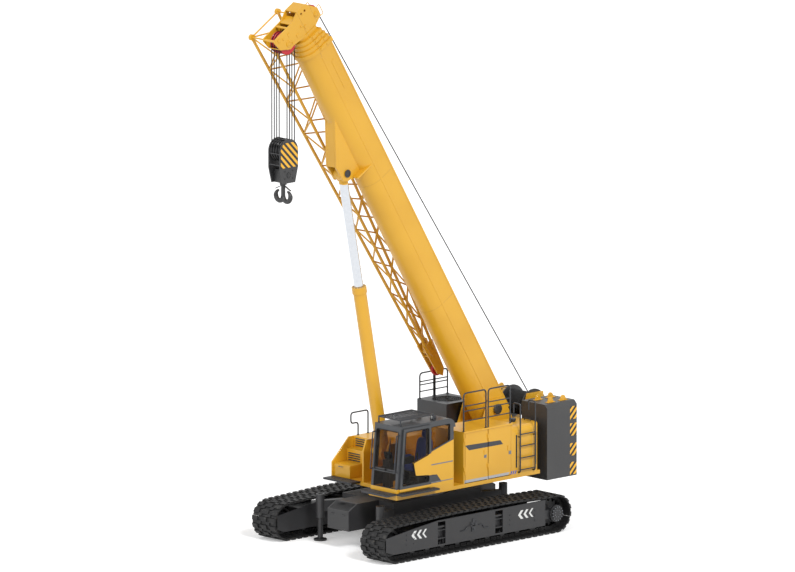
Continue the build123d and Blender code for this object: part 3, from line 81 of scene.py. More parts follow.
# Shader values as Python expressions
class Flow:
    """A socket in a material's nodes. Arithmetic on it adds Math nodes; make adds any other node."""

    def __init__(self, tree, socket=None):
        self.tree = tree
        self.socket = socket

    def make(self, kind, settings=None, inputs=None, output=0):
        """One node of a type: its settings first, then the values or links of its sockets."""
        node = self.tree.nodes.new(kind)
        for key, value in (settings or {}).items():
            if key == "stops":
                ramp = node.color_ramp.elements
                while len(ramp) < len(value):
                    ramp.new(0.5)
                for element, (place, colour) in zip(ramp, value):
                    element.position = place
                    element.color = colour
            else:
                setattr(node, key, value)
        for key, value in (inputs or {}).items():
            if isinstance(value, Flow):
                self.tree.links.new(value.socket, node.inputs[key])
            else:
                node.inputs[key].default_value = value
        return Flow(self.tree, node.outputs[output] if node.outputs else None)

    def math(self, operation, *terms):
        return self.make("ShaderNodeMath", {"operation": operation}, dict(enumerate(terms)))

    def __add__(self, other): return self.math("ADD", self, other)
    def __radd__(self, other): return self.math("ADD", other, self)
    def __sub__(self, other): return self.math("SUBTRACT", self, other)
    def __rsub__(self, other): return self.math("SUBTRACT", other, self)
    def __mul__(self, other): return self.math("MULTIPLY", self, other)
    def __rmul__(self, other): return self.math("MULTIPLY", other, self)
    def __truediv__(self, other): return self.math("DIVIDE", self, other)
    def __gt__(self, other): return self.math("GREATER_THAN", self, other)
    def __lt__(self, other): return self.math("LESS_THAN", self, other)
    def __abs__(self): return self.math("ABSOLUTE", self)

    def fraction(self):
        return self.math("FRACT", self)

    def least(self, other):
        return self.math("MINIMUM", self, other)

    def most(self, other):
        return self.math("MAXIMUM", self, other)

    def wave(self):
        """Sine of the value."""
        return self.math("SINE", self)

    def between(self, low, high):
        """1 where the value lies between two bounds."""
        return (self > low) * (self < high)

    def ramp(self, low, high):
        """0 below low, 1 above high, smooth between."""
        settings = {"interpolation_type": "SMOOTHSTEP"}
        return self.make("ShaderNodeMapRange", settings, {0: self, 1: low, 2: high, 3: 0.0, 4: 1.0})


def place(flow):
    """Object coordinates as three values, which are the crane's own X, Y and Z."""
    where = flow.make("ShaderNodeTexCoord", output=3)
    parts = flow.make("ShaderNodeSeparateXYZ", inputs={0: where}).socket.node
    return [Flow(flow.tree, socket) for socket in parts.outputs]


def grain(flow, scale, detail=3.0, rough=0.55):
    """Fractal noise in object coordinates."""
    where = flow.make("ShaderNodeTexCoord", output=3)
    return flow.make("ShaderNodeTexNoise",
                     inputs={"Vector": where, "Scale": scale, "Detail": detail, "Roughness": rough})


def mix(flow, share, first, second):
    """Colour between two colours by a share."""
    return flow.make("ShaderNodeMix", {"data_type": "RGBA"}, {0: share, 6: first, 7: second}, output=2)


def shade(hex_code):
    """Linear colour from a written screen colour."""
    levels = [int(hex_code[i:i + 2], 16) / 255 for i in (0, 2, 4)]
    return tuple(v / 12.92 if v <= 0.04045 else ((v + 0.055) / 1.055) ** 2.4 for v in levels) + (1.0,)


def surface(name, paint, metallic=0.0, coat=0.0, specular=0.5):
    """A material whose paint function returns colour, roughness and bump height for its Flow."""
    material = bpy.data.materials.new(name)
    material.use_nodes = True
    tree = material.node_tree
    shader = tree.nodes["Principled BSDF"]
    flow = Flow(tree)
    colour, rough, height, depth, *metal = paint(flow)
    varied = [("Base Color", colour), ("Roughness", rough)] + [("Metallic", value) for value in metal]
    for socket, value in varied:
        if isinstance(value, Flow):
            tree.links.new(value.socket, shader.inputs[socket])
        else:
            shader.inputs[socket].default_value = value
    if height is not None:
        bump = flow.make("ShaderNodeBump", inputs={"Height": height, "Distance": depth, "Strength": 1.0})
        tree.links.new(bump.socket, shader.inputs["Normal"])
    if not metal:
        shader.inputs["Metallic"].default_value = metallic
    shader.inputs["Coat Weight"].default_value = coat
    shader.inputs["Specular IOR Level"].default_value = specular
    return material


# Written colours
YELLOW = shade("D8A324")
YELLOW_DEEP = shade("CD971A")
GREY = shade("303031")
GREY_DARK = shade("262628")
BLACK = shade("161617")
RAIL_BLACK = shade("23262C")
BLUE = shade("2A50A8")
SEAT_BLUE = shade("3E4FA0")
RED = shade("C8192B")
PALE = shade("D5D6D4")
STRIPE_GREY = shade("A8A9AB")
HAZARD_YELLOW = shade("E6AC28")


def enamel(flow, first, second, rough=0.34):
    """Sprayed enamel: slow drift between two tones, fine orange peel, faint clouding of the gloss."""
    drift = grain(flow, 0.7, 2.0).ramp(0.35, 0.65)
    colour = mix(flow, drift * 0.55, first, second)
    gloss = rough + grain(flow, 3.0) * 0.12
    peel = grain(flow, 160.0, 2.0)
    return colour, gloss, peel


def boom_lines(flow):
    """Weld seams along the section and faint cross welds, from the place along and across the boom."""
    x, y, z = place(flow)
    s = (x - float(FOOT[0])) * float(ALONG[0]) + (z - float(FOOT[2])) * float(ALONG[2])
    n = (x - float(FOOT[0])) * float(UPWARD[0]) + (z - float(FOOT[2])) * float(UPWARD[2])
    seam = (abs(n + 0.030) < 0.007)
    edge = (abs(n - 0.375) < 0.005)
    cross = (abs(s - 7.2) < 0.006) + (abs(s - 3.3) < 0.006)
    return s, n, (seam + edge + cross).least(1.0)


def paint_yellow(flow):
    """Plain yellow enamel."""
    colour, gloss, peel = enamel(flow, YELLOW, YELLOW_DEEP)
    return colour, gloss, peel, 0.0006


def paint_boom(flow):
    """Enamel with its weld seams a shade darker."""
    colour, gloss, peel = enamel(flow, YELLOW, YELLOW_DEEP)
    lines = boom_lines(flow)[2]
    return mix(flow, lines * 0.35, colour, shade("9C6A0C")), gloss, peel - lines * 4.0, 0.0006


def paint_grey(flow):
    """Plain dark grey enamel."""
    colour, gloss, peel = enamel(flow, GREY, GREY_DARK, 0.42)
    return colour, gloss, peel, 0.0006


def paint_black(flow):
    """Plain black enamel."""
    colour, gloss, peel = enamel(flow, RAIL_BLACK, BLACK, 0.38)
    return colour, gloss, peel, 0.0004


def paint_red(flow):
    """Plain red enamel."""
    colour, gloss, peel = enamel(flow, RED, shade("A31020"), 0.4)
    return colour, gloss, peel, 0.0004


def stripes(flow, colour, mask, slant):
    """Yellow and black bands over a colour where the mask is 1, across the slanted value."""
    band = (slant / 0.17).fraction() > 0.5
    return mix(flow, mask, colour, mix(flow, band, HAZARD_YELLOW, BLACK))


def paint_weight(flow):
    """Dark grey blocks with four striped patches down their outer rear edges, on the sides and the back."""
    colour, gloss, peel = enamel(flow, shade("3B3B3B"), shade("2E2E30"), 0.42)
    x, y, z = place(flow)
    level = (z.between(2.505, 2.824) + z.between(2.10, 2.407)
             + z.between(1.61, 1.917) + z.between(1.145, 1.451)).least(1.0)
    side = (abs(y) > 1.493) * (x < -3.853) * level
    back = (x < -4.073) * (abs(y) > 1.273) * level * (1 - side)
    colour = stripes(flow, colour, side, x + z)
    return stripes(flow, colour, back, abs(y) + z), gloss, peel, 0.0006


def paint_frames(flow):
    """Dark grey side frames with three pale arrow heads at both ends of their outer faces, pointing ahead."""
    colour, gloss, peel = enamel(flow, shade("232325"), shade("1C1C1E"), 0.45)
    x, y, z = place(flow)
    rise = abs(z - 0.60)
    mark = 0.0
    for middle in (1.85, -1.70):
        lead = (x - middle) + rise * 0.9
        mark = mark + (lead.between(0.20, 0.285) + lead.between(0.03, 0.105) + lead.between(-0.13, -0.075))
    mark = mark * (rise < 0.105) * (abs(y) > 2.16)
    return mix(flow, mark.least(1.0), colour, PALE), gloss, peel, 0.0006


def inside_sweep(x, z, grow):
    """1 inside the panel that sweeps back over the cab's left side, its outline moved out by a distance."""
    step = (1.45 + (x + 0.077) * 0.211).most((1.545 + (x - 0.373) * 1.2065).least(1.767 + (x - 0.557) * 0.0886))
    top = z < 2.162 + grow + (1.387 - x) * 0.28
    front = x < 1.313 + grow + (z - 1.834) * 0.2256
    return top * (z > step - grow) * front


def paint_cab(flow):
    """Dark grey cab on a yellow sill, with the yellow panel on its left side and door, edged in blue black."""
    colour, gloss, peel = enamel(flow, shade("383A3D"), shade("2F3134"), 0.4)
    x, y, z = place(flow)
    side = y > 1.40
    rim = mix(flow, inside_sweep(x, z, 0.022) * side, colour, shade("1C2233"))
    bright = (inside_sweep(x, z, 0.0) * side + (z < 1.57)).least(1.0)
    return mix(flow, bright, rim, YELLOW), gloss, peel, 0.0006


def paint_housing(flow):
    """Yellow with a bare slanted plate of dark blue grey, a pale band along the foot and three blue dashes."""
    colour, gloss, peel = enamel(flow, YELLOW, YELLOW_DEEP)
    x, y, z = place(flow)
    side = y > 1.43
    plate = (z < 2.34 + (x + 0.38) * 0.0254) * (z > 2.20 + (x + 1.65) * 0.0044)
    plate = plate * (x < -0.38 + (z - 2.34) * 0.963) * (x > -1.56 + (z - 2.31) * 0.818) * side
    lean = x + (z - 1.44) * 0.55
    band = (z < 1.485) * (x < -0.36) * (lean > -1.84) * side
    dash = lean.between(-2.085, -1.865) * ((lean / 0.073).fraction() > 0.42) * z.between(1.415, 1.495) * side
    colour = mix(flow, plate, colour, shade("23272F"))
    colour = mix(flow, band, colour, STRIPE_GREY)
    return mix(flow, dash, colour, BLUE), gloss, peel, 0.0006


def paint_hazard(flow):
    """Striped plate."""
    x, y, z = place(flow)
    colour, gloss, peel = enamel(flow, HAZARD_YELLOW, YELLOW)
    return stripes(flow, colour, (abs(y) > 0.0), z - x), gloss, peel, 0.0003


def paint_rod(flow):
    """Chrome, with the yellow eye at its end."""
    pin = JOINT["luffing_rod_swing"]["pos_m"]
    x, y, z = place(flow)
    eye = (x - float(pin[0])) * (x - float(pin[0])) + (z - float(pin[2])) * (z - float(pin[2])) < 0.085
    streak = grain(flow, 14.0, 3.0)
    colour = mix(flow, streak, shade("D9DCE0"), shade("C3C7CD"))
    return mix(flow, eye, colour, YELLOW), 0.10 + streak * 0.05 + eye * 0.25, None, 0.0, 1 - eye


def rubber(flow):
    """Black rubber with a fine grain."""
    return shade("141516"), 0.6 + grain(flow, 30.0) * 0.15, grain(flow, 200.0), 0.0003


def track_steel(flow):
    """Rolled shoes: near black, brighter and smoother where they are scuffed."""
    scuff = grain(flow, 9.0, 5.0, 0.65).ramp(0.52, 0.72)
    fine = grain(flow, 60.0, 4.0, 0.6)
    colour = mix(flow, scuff * 0.5, shade("1F1F20"), shade("4A4844"))
    return colour, 0.62 - scuff * 0.2, fine, 0.002


def bare_steel(flow):
    """Machined steel, faintly streaked."""
    streak = grain(flow, 25.0, 4.0)
    return mix(flow, streak, shade("8E9196"), shade("6B6E73")), 0.3 + streak * 0.15, grain(flow, 120.0), 0.0003


def wire_rope(flow):
    """Laid strands: a wave along the rope and around it, from the rope's own map; the colour is darker in the grooves
    between strands, a painted shade, and lighter on their crowns.
    """
    spot = flow.make("ShaderNodeUVMap", {"uv_map": "rope"})
    parts = flow.make("ShaderNodeSeparateXYZ", inputs={0: spot}).socket.node
    around, along = [Flow(flow.tree, socket) for socket in parts.outputs[:2]]
    lay = ((around * 6.0 + along * 8.0) * (2 * pi)).wave()
    dirt = grain(flow, 30.0)
    # Colour follows the strand wave: painted shade in the grooves between strands, lighter on the crowns.
    return mix(flow, lay.ramp(-0.6, 0.8), shade("0A0A0B"), shade("2A2A2C")), 0.5 + dirt * 0.2, lay, 0.004


def seat_cloth(flow):
    """Woven cloth: two crossed fine waves over a mottled blue."""
    x, y, z = place(flow)
    weave = (x * 900.0).wave() * (y * 900.0 + z * 900.0).wave()
    colour = mix(flow, grain(flow, 40.0), SEAT_BLUE, shade("323F86"))
    return colour, 0.85, weave, 0.0008


def plastic(flow):
    """Pebbled dark plastic."""
    pebble = grain(flow, 240.0, 2.0)
    return mix(flow, grain(flow, 4.0), shade("35373A"), shade("2A2C2F")), 0.55 + pebble * 0.1, pebble, 0.0008


def lamp_lens(flow):
    """Ribbed pale lens."""
    x, y, z = place(flow)
    ribs = ((y * 420.0).wave() * 0.5 + (z * 420.0).wave() * 0.5)
    return mix(flow, ribs.ramp(-1.0, 1.0), shade("F4F4F0"), shade("C9CCCF")), 0.15, ribs, 0.002


FINISH = {
    "yellow": surface("yellow enamel", paint_yellow, coat=0.25),
    "boom": surface("boom enamel", paint_boom, coat=0.25),
    "grey": surface("dark grey enamel", paint_grey, coat=0.1),
    "black": surface("black enamel", paint_black, coat=0.15),
    "red": surface("red enamel", paint_red, coat=0.1),
    "track": surface("track steel", track_steel, metallic=0.35),
    "steel": surface("bare steel", bare_steel, metallic=0.9),
    "rod": surface("chromed rod", paint_rod),
    "weight": surface("counterweight enamel", paint_weight, coat=0.1),
    "frames": surface("side frame enamel", paint_frames, coat=0.1),
    "cab": surface("cab enamel", paint_cab, coat=0.2),
    "housing": surface("housing enamel", paint_housing, coat=0.25),
    "hazard": surface("striped enamel", paint_hazard, coat=0.1),
    "rubber": surface("rubber", rubber, specular=0.3),
    "rope": surface("wire rope", wire_rope, metallic=0.2),
    "seat": surface("seat cloth", seat_cloth, specular=0.2),
    "plastic": surface("cab plastic", plastic),
    "lens": surface("lamp lens", lamp_lens, coat=0.5),
}


def smoked_glass():
    """Thin tinted glass: clear straight on, glossy at a slant."""
    material = bpy.data.materials.new("smoked glass")
    material.use_nodes = True
    tree = material.node_tree
    tree.nodes.clear()
    flow = Flow(tree)
    streak = grain(flow, 5.0)
    gloss = flow.make("ShaderNodeBsdfPrincipled",
                      inputs={"Base Color": shade("2B3033"), "Roughness": 0.03 + streak * 0.05})
    clear = flow.make("ShaderNodeBsdfTransparent", inputs={"Color": shade("EFE8E0")})
    slant = flow.make("ShaderNodeLayerWeight", inputs={"Blend": 0.25}, output=1)
    share = 0.05 + slant * 0.35
    both = flow.make("ShaderNodeMixShader", inputs={0: share, 1: clear, 2: gloss})
    flow.make("ShaderNodeOutputMaterial", inputs={0: both})
    return material


FINISH["glass"] = smoked_glass()

NODE_FINISH = {
    "boom": ["boom_base", "boom_section_2", "boom_section_3", "boom_section_4", "boom_tip"],
    "yellow": ["turntable", "decks", "right_housing", "winch_frame", "jib", "luff_barrel", "cab_floor"],
    "housing": ["left_housing", "fuel_tank", "housing_door_front", "housing_door_rear"],
    "grey": ["carbody", "engine", "hook_block", "hook", "block_sheaves", "winch_drum", "jack_leg_front_left",
             "jack_leg_front_right", "jack_leg_rear_left", "jack_leg_rear_right"],
    "weight": ["counterweight_base", "counterweight_middle", "counterweight_top"],
    "frames": ["track_frames", "sprockets", "idlers", "track_rollers"],
    "cab": ["cab_left_side", "cab_right_side", "cab_front", "cab_rear", "cab_roof", "cab_door"],
    "black": ["cooler", "handrails", "ladder", "cab_guards", "steps", "lamps"],
    "red": ["head_sheaves", "guide_sheave"],
    "track": ["track_left", "track_right"],
    "steel": ["slew_ring", "boom_foot_pin"],
    "rod": ["luff_rod"],
    "rope": ["rope_falls"],
    "seat": ["seat"],
    "plastic": ["consoles"],
    "glass": ["cab_glass", "cab_door_glass"],
}
for finish_name, node_names in NODE_FINISH.items():
    for node_name in node_names:
        node_object = frame["nodes"][node_name]
        node_object.data.materials.clear()
        node_object.data.materials.append(FINISH[finish_name])


# Shapes as whole arrays: each is a list of points and a list of face tables
def grid_faces(rows, columns, around=True):
    """Corner numbers of the quads between the rows of a grid, joined round its columns."""
    row, column = np.meshgrid(np.arange(rows - 1), np.arange(columns if around else columns - 1), indexing="ij")
    beside = (column + 1) % columns
    corners = [row * columns + column, row * columns + beside, (row + 1) * columns + beside,
               (row + 1) * columns + column]
    return np.stack(corners, -1).reshape(-1, 4)


def repeated(faces, count, step):
    """Face tables of count like shapes, numbered one after another."""
    return (faces[None] + step * np.arange(count)[:, None, None]).reshape(-1, faces.shape[1])


def unit(vectors):
    return vectors / np.linalg.norm(vectors, axis=-1, keepdims=True)


def lofts(rings):
    """Skins over rings (count, rows, columns, 3): quads from ring to ring, the first and last ring closed."""
    count, rows, columns = rings.shape[:3]
    step = rows * columns
    ends = [np.arange(columns)[None, ::-1], np.arange(columns)[None] + step - columns]
    faces = [grid_faces(rows, columns)] + ends
    return rings.reshape(-1, 3), [repeated(table, count, step) for table in faces]


def pipes(paths, radius, sides, reference):
    """Round bars: a circle carried along each path, square to it; the reference is never along the path.

    The radius is one number, or one for each place along the path.
    """
    paths = np.asarray(paths, float)
    forward = unit(np.gradient(paths, axis=1))
    first = unit(np.cross(np.asarray(reference, float), forward))
    second = np.cross(forward, first)
    angle = np.arange(sides) * 2 * pi / sides
    spoke = np.cos(angle)[:, None] * first[:, :, None] + np.sin(angle)[:, None] * second[:, :, None]
    radius = np.asarray(radius, float)
    return lofts(paths[:, :, None] + radius.reshape(1, -1, 1, 1) * spoke)


def lathes(profile, centres, axis, sides):
    """Turned pieces: radius and height pairs carried round an axis through each centre."""
    radius, height = np.asarray(profile, float).T
    axis = unit(np.asarray(axis, float))
    first = unit(np.cross(axis, [0.3, 0.5, 0.9]))
    second = np.cross(axis, first)
    angle = np.arange(sides) * 2 * pi / sides
    spoke = np.cos(angle)[:, None] * first + np.sin(angle)[:, None] * second
    turned = height[:, None, None] * axis + radius[:, None, None] * spoke
    return lofts(np.asarray(centres, float).reshape(-1, 1, 1, 3) + turned[None])


CUBE = np.stack(np.meshgrid([-1, 1], [-1, 1], [-1, 1], indexing="ij"), -1).reshape(-1, 3).astype(float)
CUBE_FACES = np.array([(0, 1, 3, 2), (4, 6, 7, 5), (0, 4, 5, 1), (2, 3, 7, 6), (0, 2, 6, 4), (1, 5, 7, 3)])


def blocks(centres, halves, axes=None):
    """Boxes: half sizes along three axes from each centre, the crane's own axes unless others are given."""
    centres = np.asarray(centres, float).reshape(-1, 3)
    halves = np.broadcast_to(np.asarray(halves, float), centres.shape)
    axes = np.broadcast_to(np.eye(3) if axes is None else np.asarray(axes, float), (len(centres), 3, 3))
    points = centres[:, None] + np.einsum("nck,nkd->ncd", CUBE[None] * halves[:, None], axes)
    return points.reshape(-1, 3), [repeated(CUBE_FACES, len(centres), 8)]


def slab(outline, start, end, origin=(0, 0, 0), across=(1, 0, 0), up=(0, 0, 1)):
    """A flat plate: an outline of (across, up) pairs carried square to itself from start to end."""
    outline = np.asarray(outline, float)
    across, up = np.asarray(across, float), np.asarray(up, float)
    normal = np.cross(across, up)
    turn = outline[:, 0] * np.roll(outline[:, 1], -1) - outline[:, 1] * np.roll(outline[:, 0], -1)
    outline = outline if turn.sum() > 0 else outline[::-1]
    flat = np.asarray(origin, float) + outline[:, :1] * across + outline[:, 1:] * up
    low, high = sorted((start, end))
    return lofts(np.stack([flat + normal * low, flat + normal * high])[None])


def joined(*shapes):
    """Several shapes as one."""
    counts = np.cumsum([0] + [len(points) for points, faces in shapes])
    tables = [table + first for first, (points, faces) in zip(counts, shapes) for table in faces]
    return np.concatenate([points for points, faces in shapes]), tables


def mirrored(shape):
    """The shape with its twin on the crane's other side, its faces turned back outwards."""
    points, faces = shape
    twin = points * [1, -1, 1], [table[:, ::-1] for table in faces]
    return joined(shape, twin)


def piece(name, shape, finish, body, bevel=0.0):
    """An object from a shape, in a finish, riding a body; its edges may be eased."""
    points, tables = shape
    mesh = bpy.data.meshes.new(name)
    mesh.from_pydata(points.tolist(), [], [face for table in tables for face in table.tolist()])
    mesh.polygons.foreach_set("use_smooth", np.ones(len(mesh.polygons), bool))
    mesh.set_sharp_from_angle(angle=radians(32))
    mesh.materials.append(FINISH[finish])
    made = bpy.data.objects.new(name.replace(" ", "_"), mesh)
    bpy.context.scene.collection.objects.link(made)
    if bevel:
        eased = made.modifiers.new("eased edges", "BEVEL")
        eased.width = bevel
        eased.segments = 2
        eased.limit_method = "ANGLE"
    if body:
        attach(made, body)
    return made


def bent(corners, radius, steps=7):
    """Path through corner points, each inner corner turned on a curve that starts a radius before it."""
    corners = np.asarray(corners, float)
    share = np.linspace(0, 1, steps)[:, None]
    runs = [corners[:1]]
    for before, at, after in zip(corners, corners[1:], corners[2:]):
        start, end = at + unit(before - at) * radius, at + unit(after - at) * radius
        runs.append((1 - share) ** 2 * start + 2 * share * (1 - share) * at + share ** 2 * end)
    return np.concatenate(runs + [corners[-1:]])


# Tracks
END_REACH, END_RADIUS = 2.68, 0.470          # centres of the end circles, and the shoes' outside there
CARRIER_REACH, CARRIER_Z, CARRIER_BEND = 0.90, 0.785, 0.215
TRACK_Y = float(LOW["track_left"][1] + HIGH["track_left"][1]) / 2
SHOES = 68
SHOE_HALF = 0.400


def arc(x, z, radius, start, end, steps=80):
    """Points on a circle in the crane's side plane, between two angles in degrees."""
    angle = np.radians(np.linspace(start, end, steps))
    return np.stack([x + radius * np.cos(angle), z + radius * np.sin(angle)], -1)


def track_places(count):
    """Even places round the outside of the shoes: ground run, front circle, raised upper run, rear circle.

    Gives each place with the direction along the run and the direction out of it.
    """
    reach = hypot(END_REACH - CARRIER_REACH, CARRIER_Z - END_RADIUS)
    slope = np.degrees(atan2(CARRIER_Z - END_RADIUS, CARRIER_REACH - END_REACH))
    leave = slope - np.degrees(np.arccos((END_RADIUS - CARRIER_BEND) / reach))
    path = np.concatenate([
        [(-END_REACH, 0.0)], arc(END_REACH, END_RADIUS, END_RADIUS, -90, leave),
        arc(CARRIER_REACH, CARRIER_Z, CARRIER_BEND, leave, 90, 8),
        arc(-CARRIER_REACH, CARRIER_Z, CARRIER_BEND, 90, 180 - leave, 8),
        arc(-END_REACH, END_RADIUS, END_RADIUS, 180 - leave, 270)])
    length = np.concatenate([[0], np.cumsum(np.linalg.norm(np.diff(path, axis=0), axis=1))])

    def at(distance):
        distance = distance % length[-1]
        return np.stack([np.interp(distance, length, path[:, 0]), np.interp(distance, length, path[:, 1])], -1)

    middle = (np.arange(count) + 0.5) * length[-1] / count
    half = length[-1] / count * 0.42
    run = unit(at(middle + half) - at(middle - half))
    place = (at(middle + half) + at(middle - half)) / 2
    along = np.stack([run[:, 0], np.zeros(count), run[:, 1]], -1)
    out = np.stack([run[:, 1], np.zeros(count), -run[:, 0]], -1)
    return np.stack([place[:, 0], np.zeros(count), place[:, 1]], -1), along, out


def track(y):
    """Every shoe a plate with raised blocks set like bricks, over two rows of links with their pins."""
    place, along, out = track_places(SHOES)
    axes = np.stack([np.broadcast_to(ACROSS, along.shape), along, out], 1)
    sizes = [  # middle and half size: across, along, outwards
        ((0, 0, -0.043), (SHOE_HALF, 0.088, 0.013)),
        ((-0.305, 0.034, -0.017), (0.092, 0.058, 0.017)), ((0, 0.034, -0.017), (0.092, 0.058, 0.017)),
        ((0.305, 0.034, -0.017), (0.092, 0.058, 0.017)),
        ((-0.152, -0.050, -0.019), (0.058, 0.040, 0.015)), ((0.152, -0.050, -0.019), (0.058, 0.040, 0.015)),
        ((-0.130, 0.010, -0.098), (0.030, 0.094, 0.042)), ((0.130, 0.010, -0.098), (0.030, 0.094, 0.042))]
    rows = [blocks(place + ACROSS * y + np.einsum("k,nkd->nd", np.array(middle), axes), half, axes)
            for middle, half in sizes]
    pins = place - out * 0.098 + along * 0.085
    ends = np.stack([pins + ACROSS * (y - 0.165), pins + ACROSS * (y + 0.165)], 1)
    return joined(*rows, pipes(ends, 0.026, 8, (0.31, 0.0, 0.95)))


for side_name, side in (("left", 1), ("right", -1)):
    shoes = piece("track shoes " + side_name, track(side * TRACK_Y), "track", "undercarriage", bevel=0.004)
    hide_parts("track_" + side_name)


# Fittings on the tracks' side frames
FRAME_OUT = 2.213            # outer face of the side plates


def bolt_ring(centre, axis, radius, count, size):
    """Hexagon bolt heads on a circle round an axis."""
    axis = unit(np.asarray(axis, float))
    first = unit(np.cross(axis, [0.3, 0.5, 0.9]))
    second = np.cross(axis, first)
    angle = np.arange(count)[:, None] * 2 * pi / count
    centres = np.asarray(centre, float) + radius * (np.cos(angle) * first + np.sin(angle) * second)
    return lathes([(size, 0.0), (size, size * 0.8), (size * 0.8, size)], centres, axis, 6)


def frame_fittings():
    """On each frame's outer face: tension valve block with its hose stubs and hoses, and rows of bolt heads."""
    y = FRAME_OUT
    valve = blocks([(0.08, y + 0.006, 0.60), (0.08, y + 0.006, 0.50), (0.08, y + 0.004, 0.68)],
                   [(0.11, 0.012, 0.05), (0.06, 0.012, 0.08), (0.04, 0.010, 0.05)])
    ports = lathes([(0.034, 0.0), (0.034, 0.016), (0.020, 0.018), (0.020, 0.030)],
                   [(0.03, y + 0.012, 0.60), (0.13, y + 0.012, 0.60), (0.08, y + 0.012, 0.48)], ACROSS, 12)
    hoses = pipes([bent([(-0.10, y + 0.012, 0.56), (-0.22, y + 0.012, 0.56), (-0.26, y + 0.012, 0.46),
                         (-0.42, y + 0.012, 0.46)], 0.05),
                   bent([(0.22, y + 0.012, 0.56), (0.30, y + 0.012, 0.56), (0.36, y + 0.012, 0.48),
                         (0.50, y + 0.012, 0.48)], 0.05)], 0.012, 8, ACROSS)
    heads = lathes([(0.016, 0.0), (0.016, 0.010), (0.012, 0.014)],
                   [(x, y, z) for x in (2.30, 2.05, -1.15, -1.98) for z in (0.40, 0.52, 0.64)], ACROSS, 6)
    return mirrored(joined(valve, ports, hoses, heads))


piece("side frame fittings", frame_fittings(), "black", "undercarriage", bevel=0.003)
DRIVE_OUT = float(HIGH["sprockets"][1])
drive_bolts = joined(bolt_ring((-END_REACH, DRIVE_OUT, END_RADIUS), ACROSS, 0.165, 14, 0.014),
                     bolt_ring((-END_REACH, DRIVE_OUT, END_RADIUS), ACROSS, 0.085, 8, 0.012))
piece("final drive bolts", mirrored(drive_bolts), "steel", "undercarriage")


# Ropes
ROPE = 0.013
LAY = 0.16                   # length of one turn of the strands
SHEAVE_Y = [(i - 1.5) * 0.085 for i in range(4)]
GROOVE_RADIUS = 0.240 + ROPE


def rope(name, paths, reference, body):
    """Laid rope along paths, with a map of turns around and metres along for its strands."""
    paths = np.asarray(paths, float)
    sides, (count, places) = 10, paths.shape[:2]
    points, tables = pipes(paths, ROPE, sides, reference)
    made = piece(name, (points, tables), "rope", None)
    along = np.concatenate([np.zeros((count, 1)), np.cumsum(np.linalg.norm(np.diff(paths, axis=1), axis=2), 1)], 1)
    row, column = np.meshgrid(np.arange(places - 1), np.arange(sides), indexing="ij")
    corner_rows = np.stack([row, row, row + 1, row + 1], -1).reshape(-1, 4)
    corner_turns = np.stack([column, column + 1, column + 1, column], -1).reshape(-1, 4) / sides
    strand = np.stack([np.broadcast_to(corner_turns, (count,) + corner_turns.shape), along[:, corner_rows] / LAY], -1)
    layer = made.data.uv_layers.new(name="rope")
    values = np.zeros((len(made.data.loops), 2), np.float32)
    values[:strand.size // 2] = strand.reshape(-1, 2)
    layer.data.foreach_set("uv", values.ravel())
    if body:
        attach(made, body)
    return made


def line(start, end, places=2):
    """Evenly spaced points from one to another."""
    return np.linspace(np.asarray(start, float), np.asarray(end, float), places)


def hoops(centre, radius, places=49):
    """Rope once round each sheave of a row, in its groove."""
    angle = np.linspace(0, 2 * pi, places)
    wheel = np.stack([np.cos(angle) * radius, np.zeros(places), np.sin(angle) * radius], -1)
    return [np.asarray(centre) + ACROSS * y + wheel for y in SHEAVE_Y]


FALL_X = (LOW["rope_falls"][0] + ROPE, HIGH["rope_falls"][0] - ROPE)
falls = rope("hoist rope falls", [line((x, y, HEAD[2]), (x, y, BLOCK[2]), 9) for x in FALL_X for y in SHEAVE_Y],
             (1.0, 0.0, 0.0), "hoist_falls")
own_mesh(falls)
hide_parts("rope_falls")
rope("rope round the head sheaves", hoops(HEAD, GROOVE_RADIUS), ACROSS, "tip_section")
rope("rope round the block sheaves", hoops(BLOCK, GROOVE_RADIUS), ACROSS, "lower_block")

# The hoist line runs from the drum's upper side over the boom's back to the guide sheave, then to the head
DRUM_ROPE = 0.270 + ROPE
GUIDE_ROPE = 0.170 + ROPE


def tangent_above(first, first_radius, second, second_radius):
    """Ends of the line that touches two circles from above, in the crane's side plane."""
    gap = np.array([second[0] - first[0], second[2] - first[2]])
    turn = atan2(gap[1], gap[0]) + np.arccos((first_radius - second_radius) / np.linalg.norm(gap))
    out = np.array([cos(turn), 0.0, sin(turn)])
    return first + out * first_radius, second + out * second_radius


LINE_FOOT, LINE_HEAD = tangent_above(DRUM, DRUM_ROPE, GUIDE, GUIDE_ROPE)
LINE_SPLIT = LINE_FOOT + (LINE_HEAD - LINE_FOOT) * 0.16
lower_line = rope("hoist rope to the boom", [line(LINE_FOOT, LINE_SPLIT, 25)], ACROSS, None)
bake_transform(lower_line)
upper_line = rope("hoist rope along the boom", [line(LINE_SPLIT, LINE_HEAD, 61)], ACROSS, None)
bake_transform(upper_line)


def over_guide():
    """Over the guide sheave and down to the outermost head sheave, on its front."""
    start = atan2(*(LINE_HEAD - GUIDE)[[2, 0]])
    end = atan2(*(HEAD - GUIDE)[[2, 0]])
    back = hypot(*(HEAD - GUIDE)[[2, 0]])
    leave = end + np.arccos((GUIDE_ROPE - GROOVE_RADIUS) / back)
    angle = np.linspace(start, leave, 25)
    bow = GUIDE + GUIDE_ROPE * np.stack([np.cos(angle), np.zeros(25), np.sin(angle)], -1)
    out = np.array([cos(angle[-1]), 0.0, sin(angle[-1])])
    landing = HEAD + out * GROOVE_RADIUS
    return np.concatenate([bow, line(bow[-1], landing, 6)[1:]])


rope("rope over the guide sheave", [over_guide()], ACROSS, "tip_section")


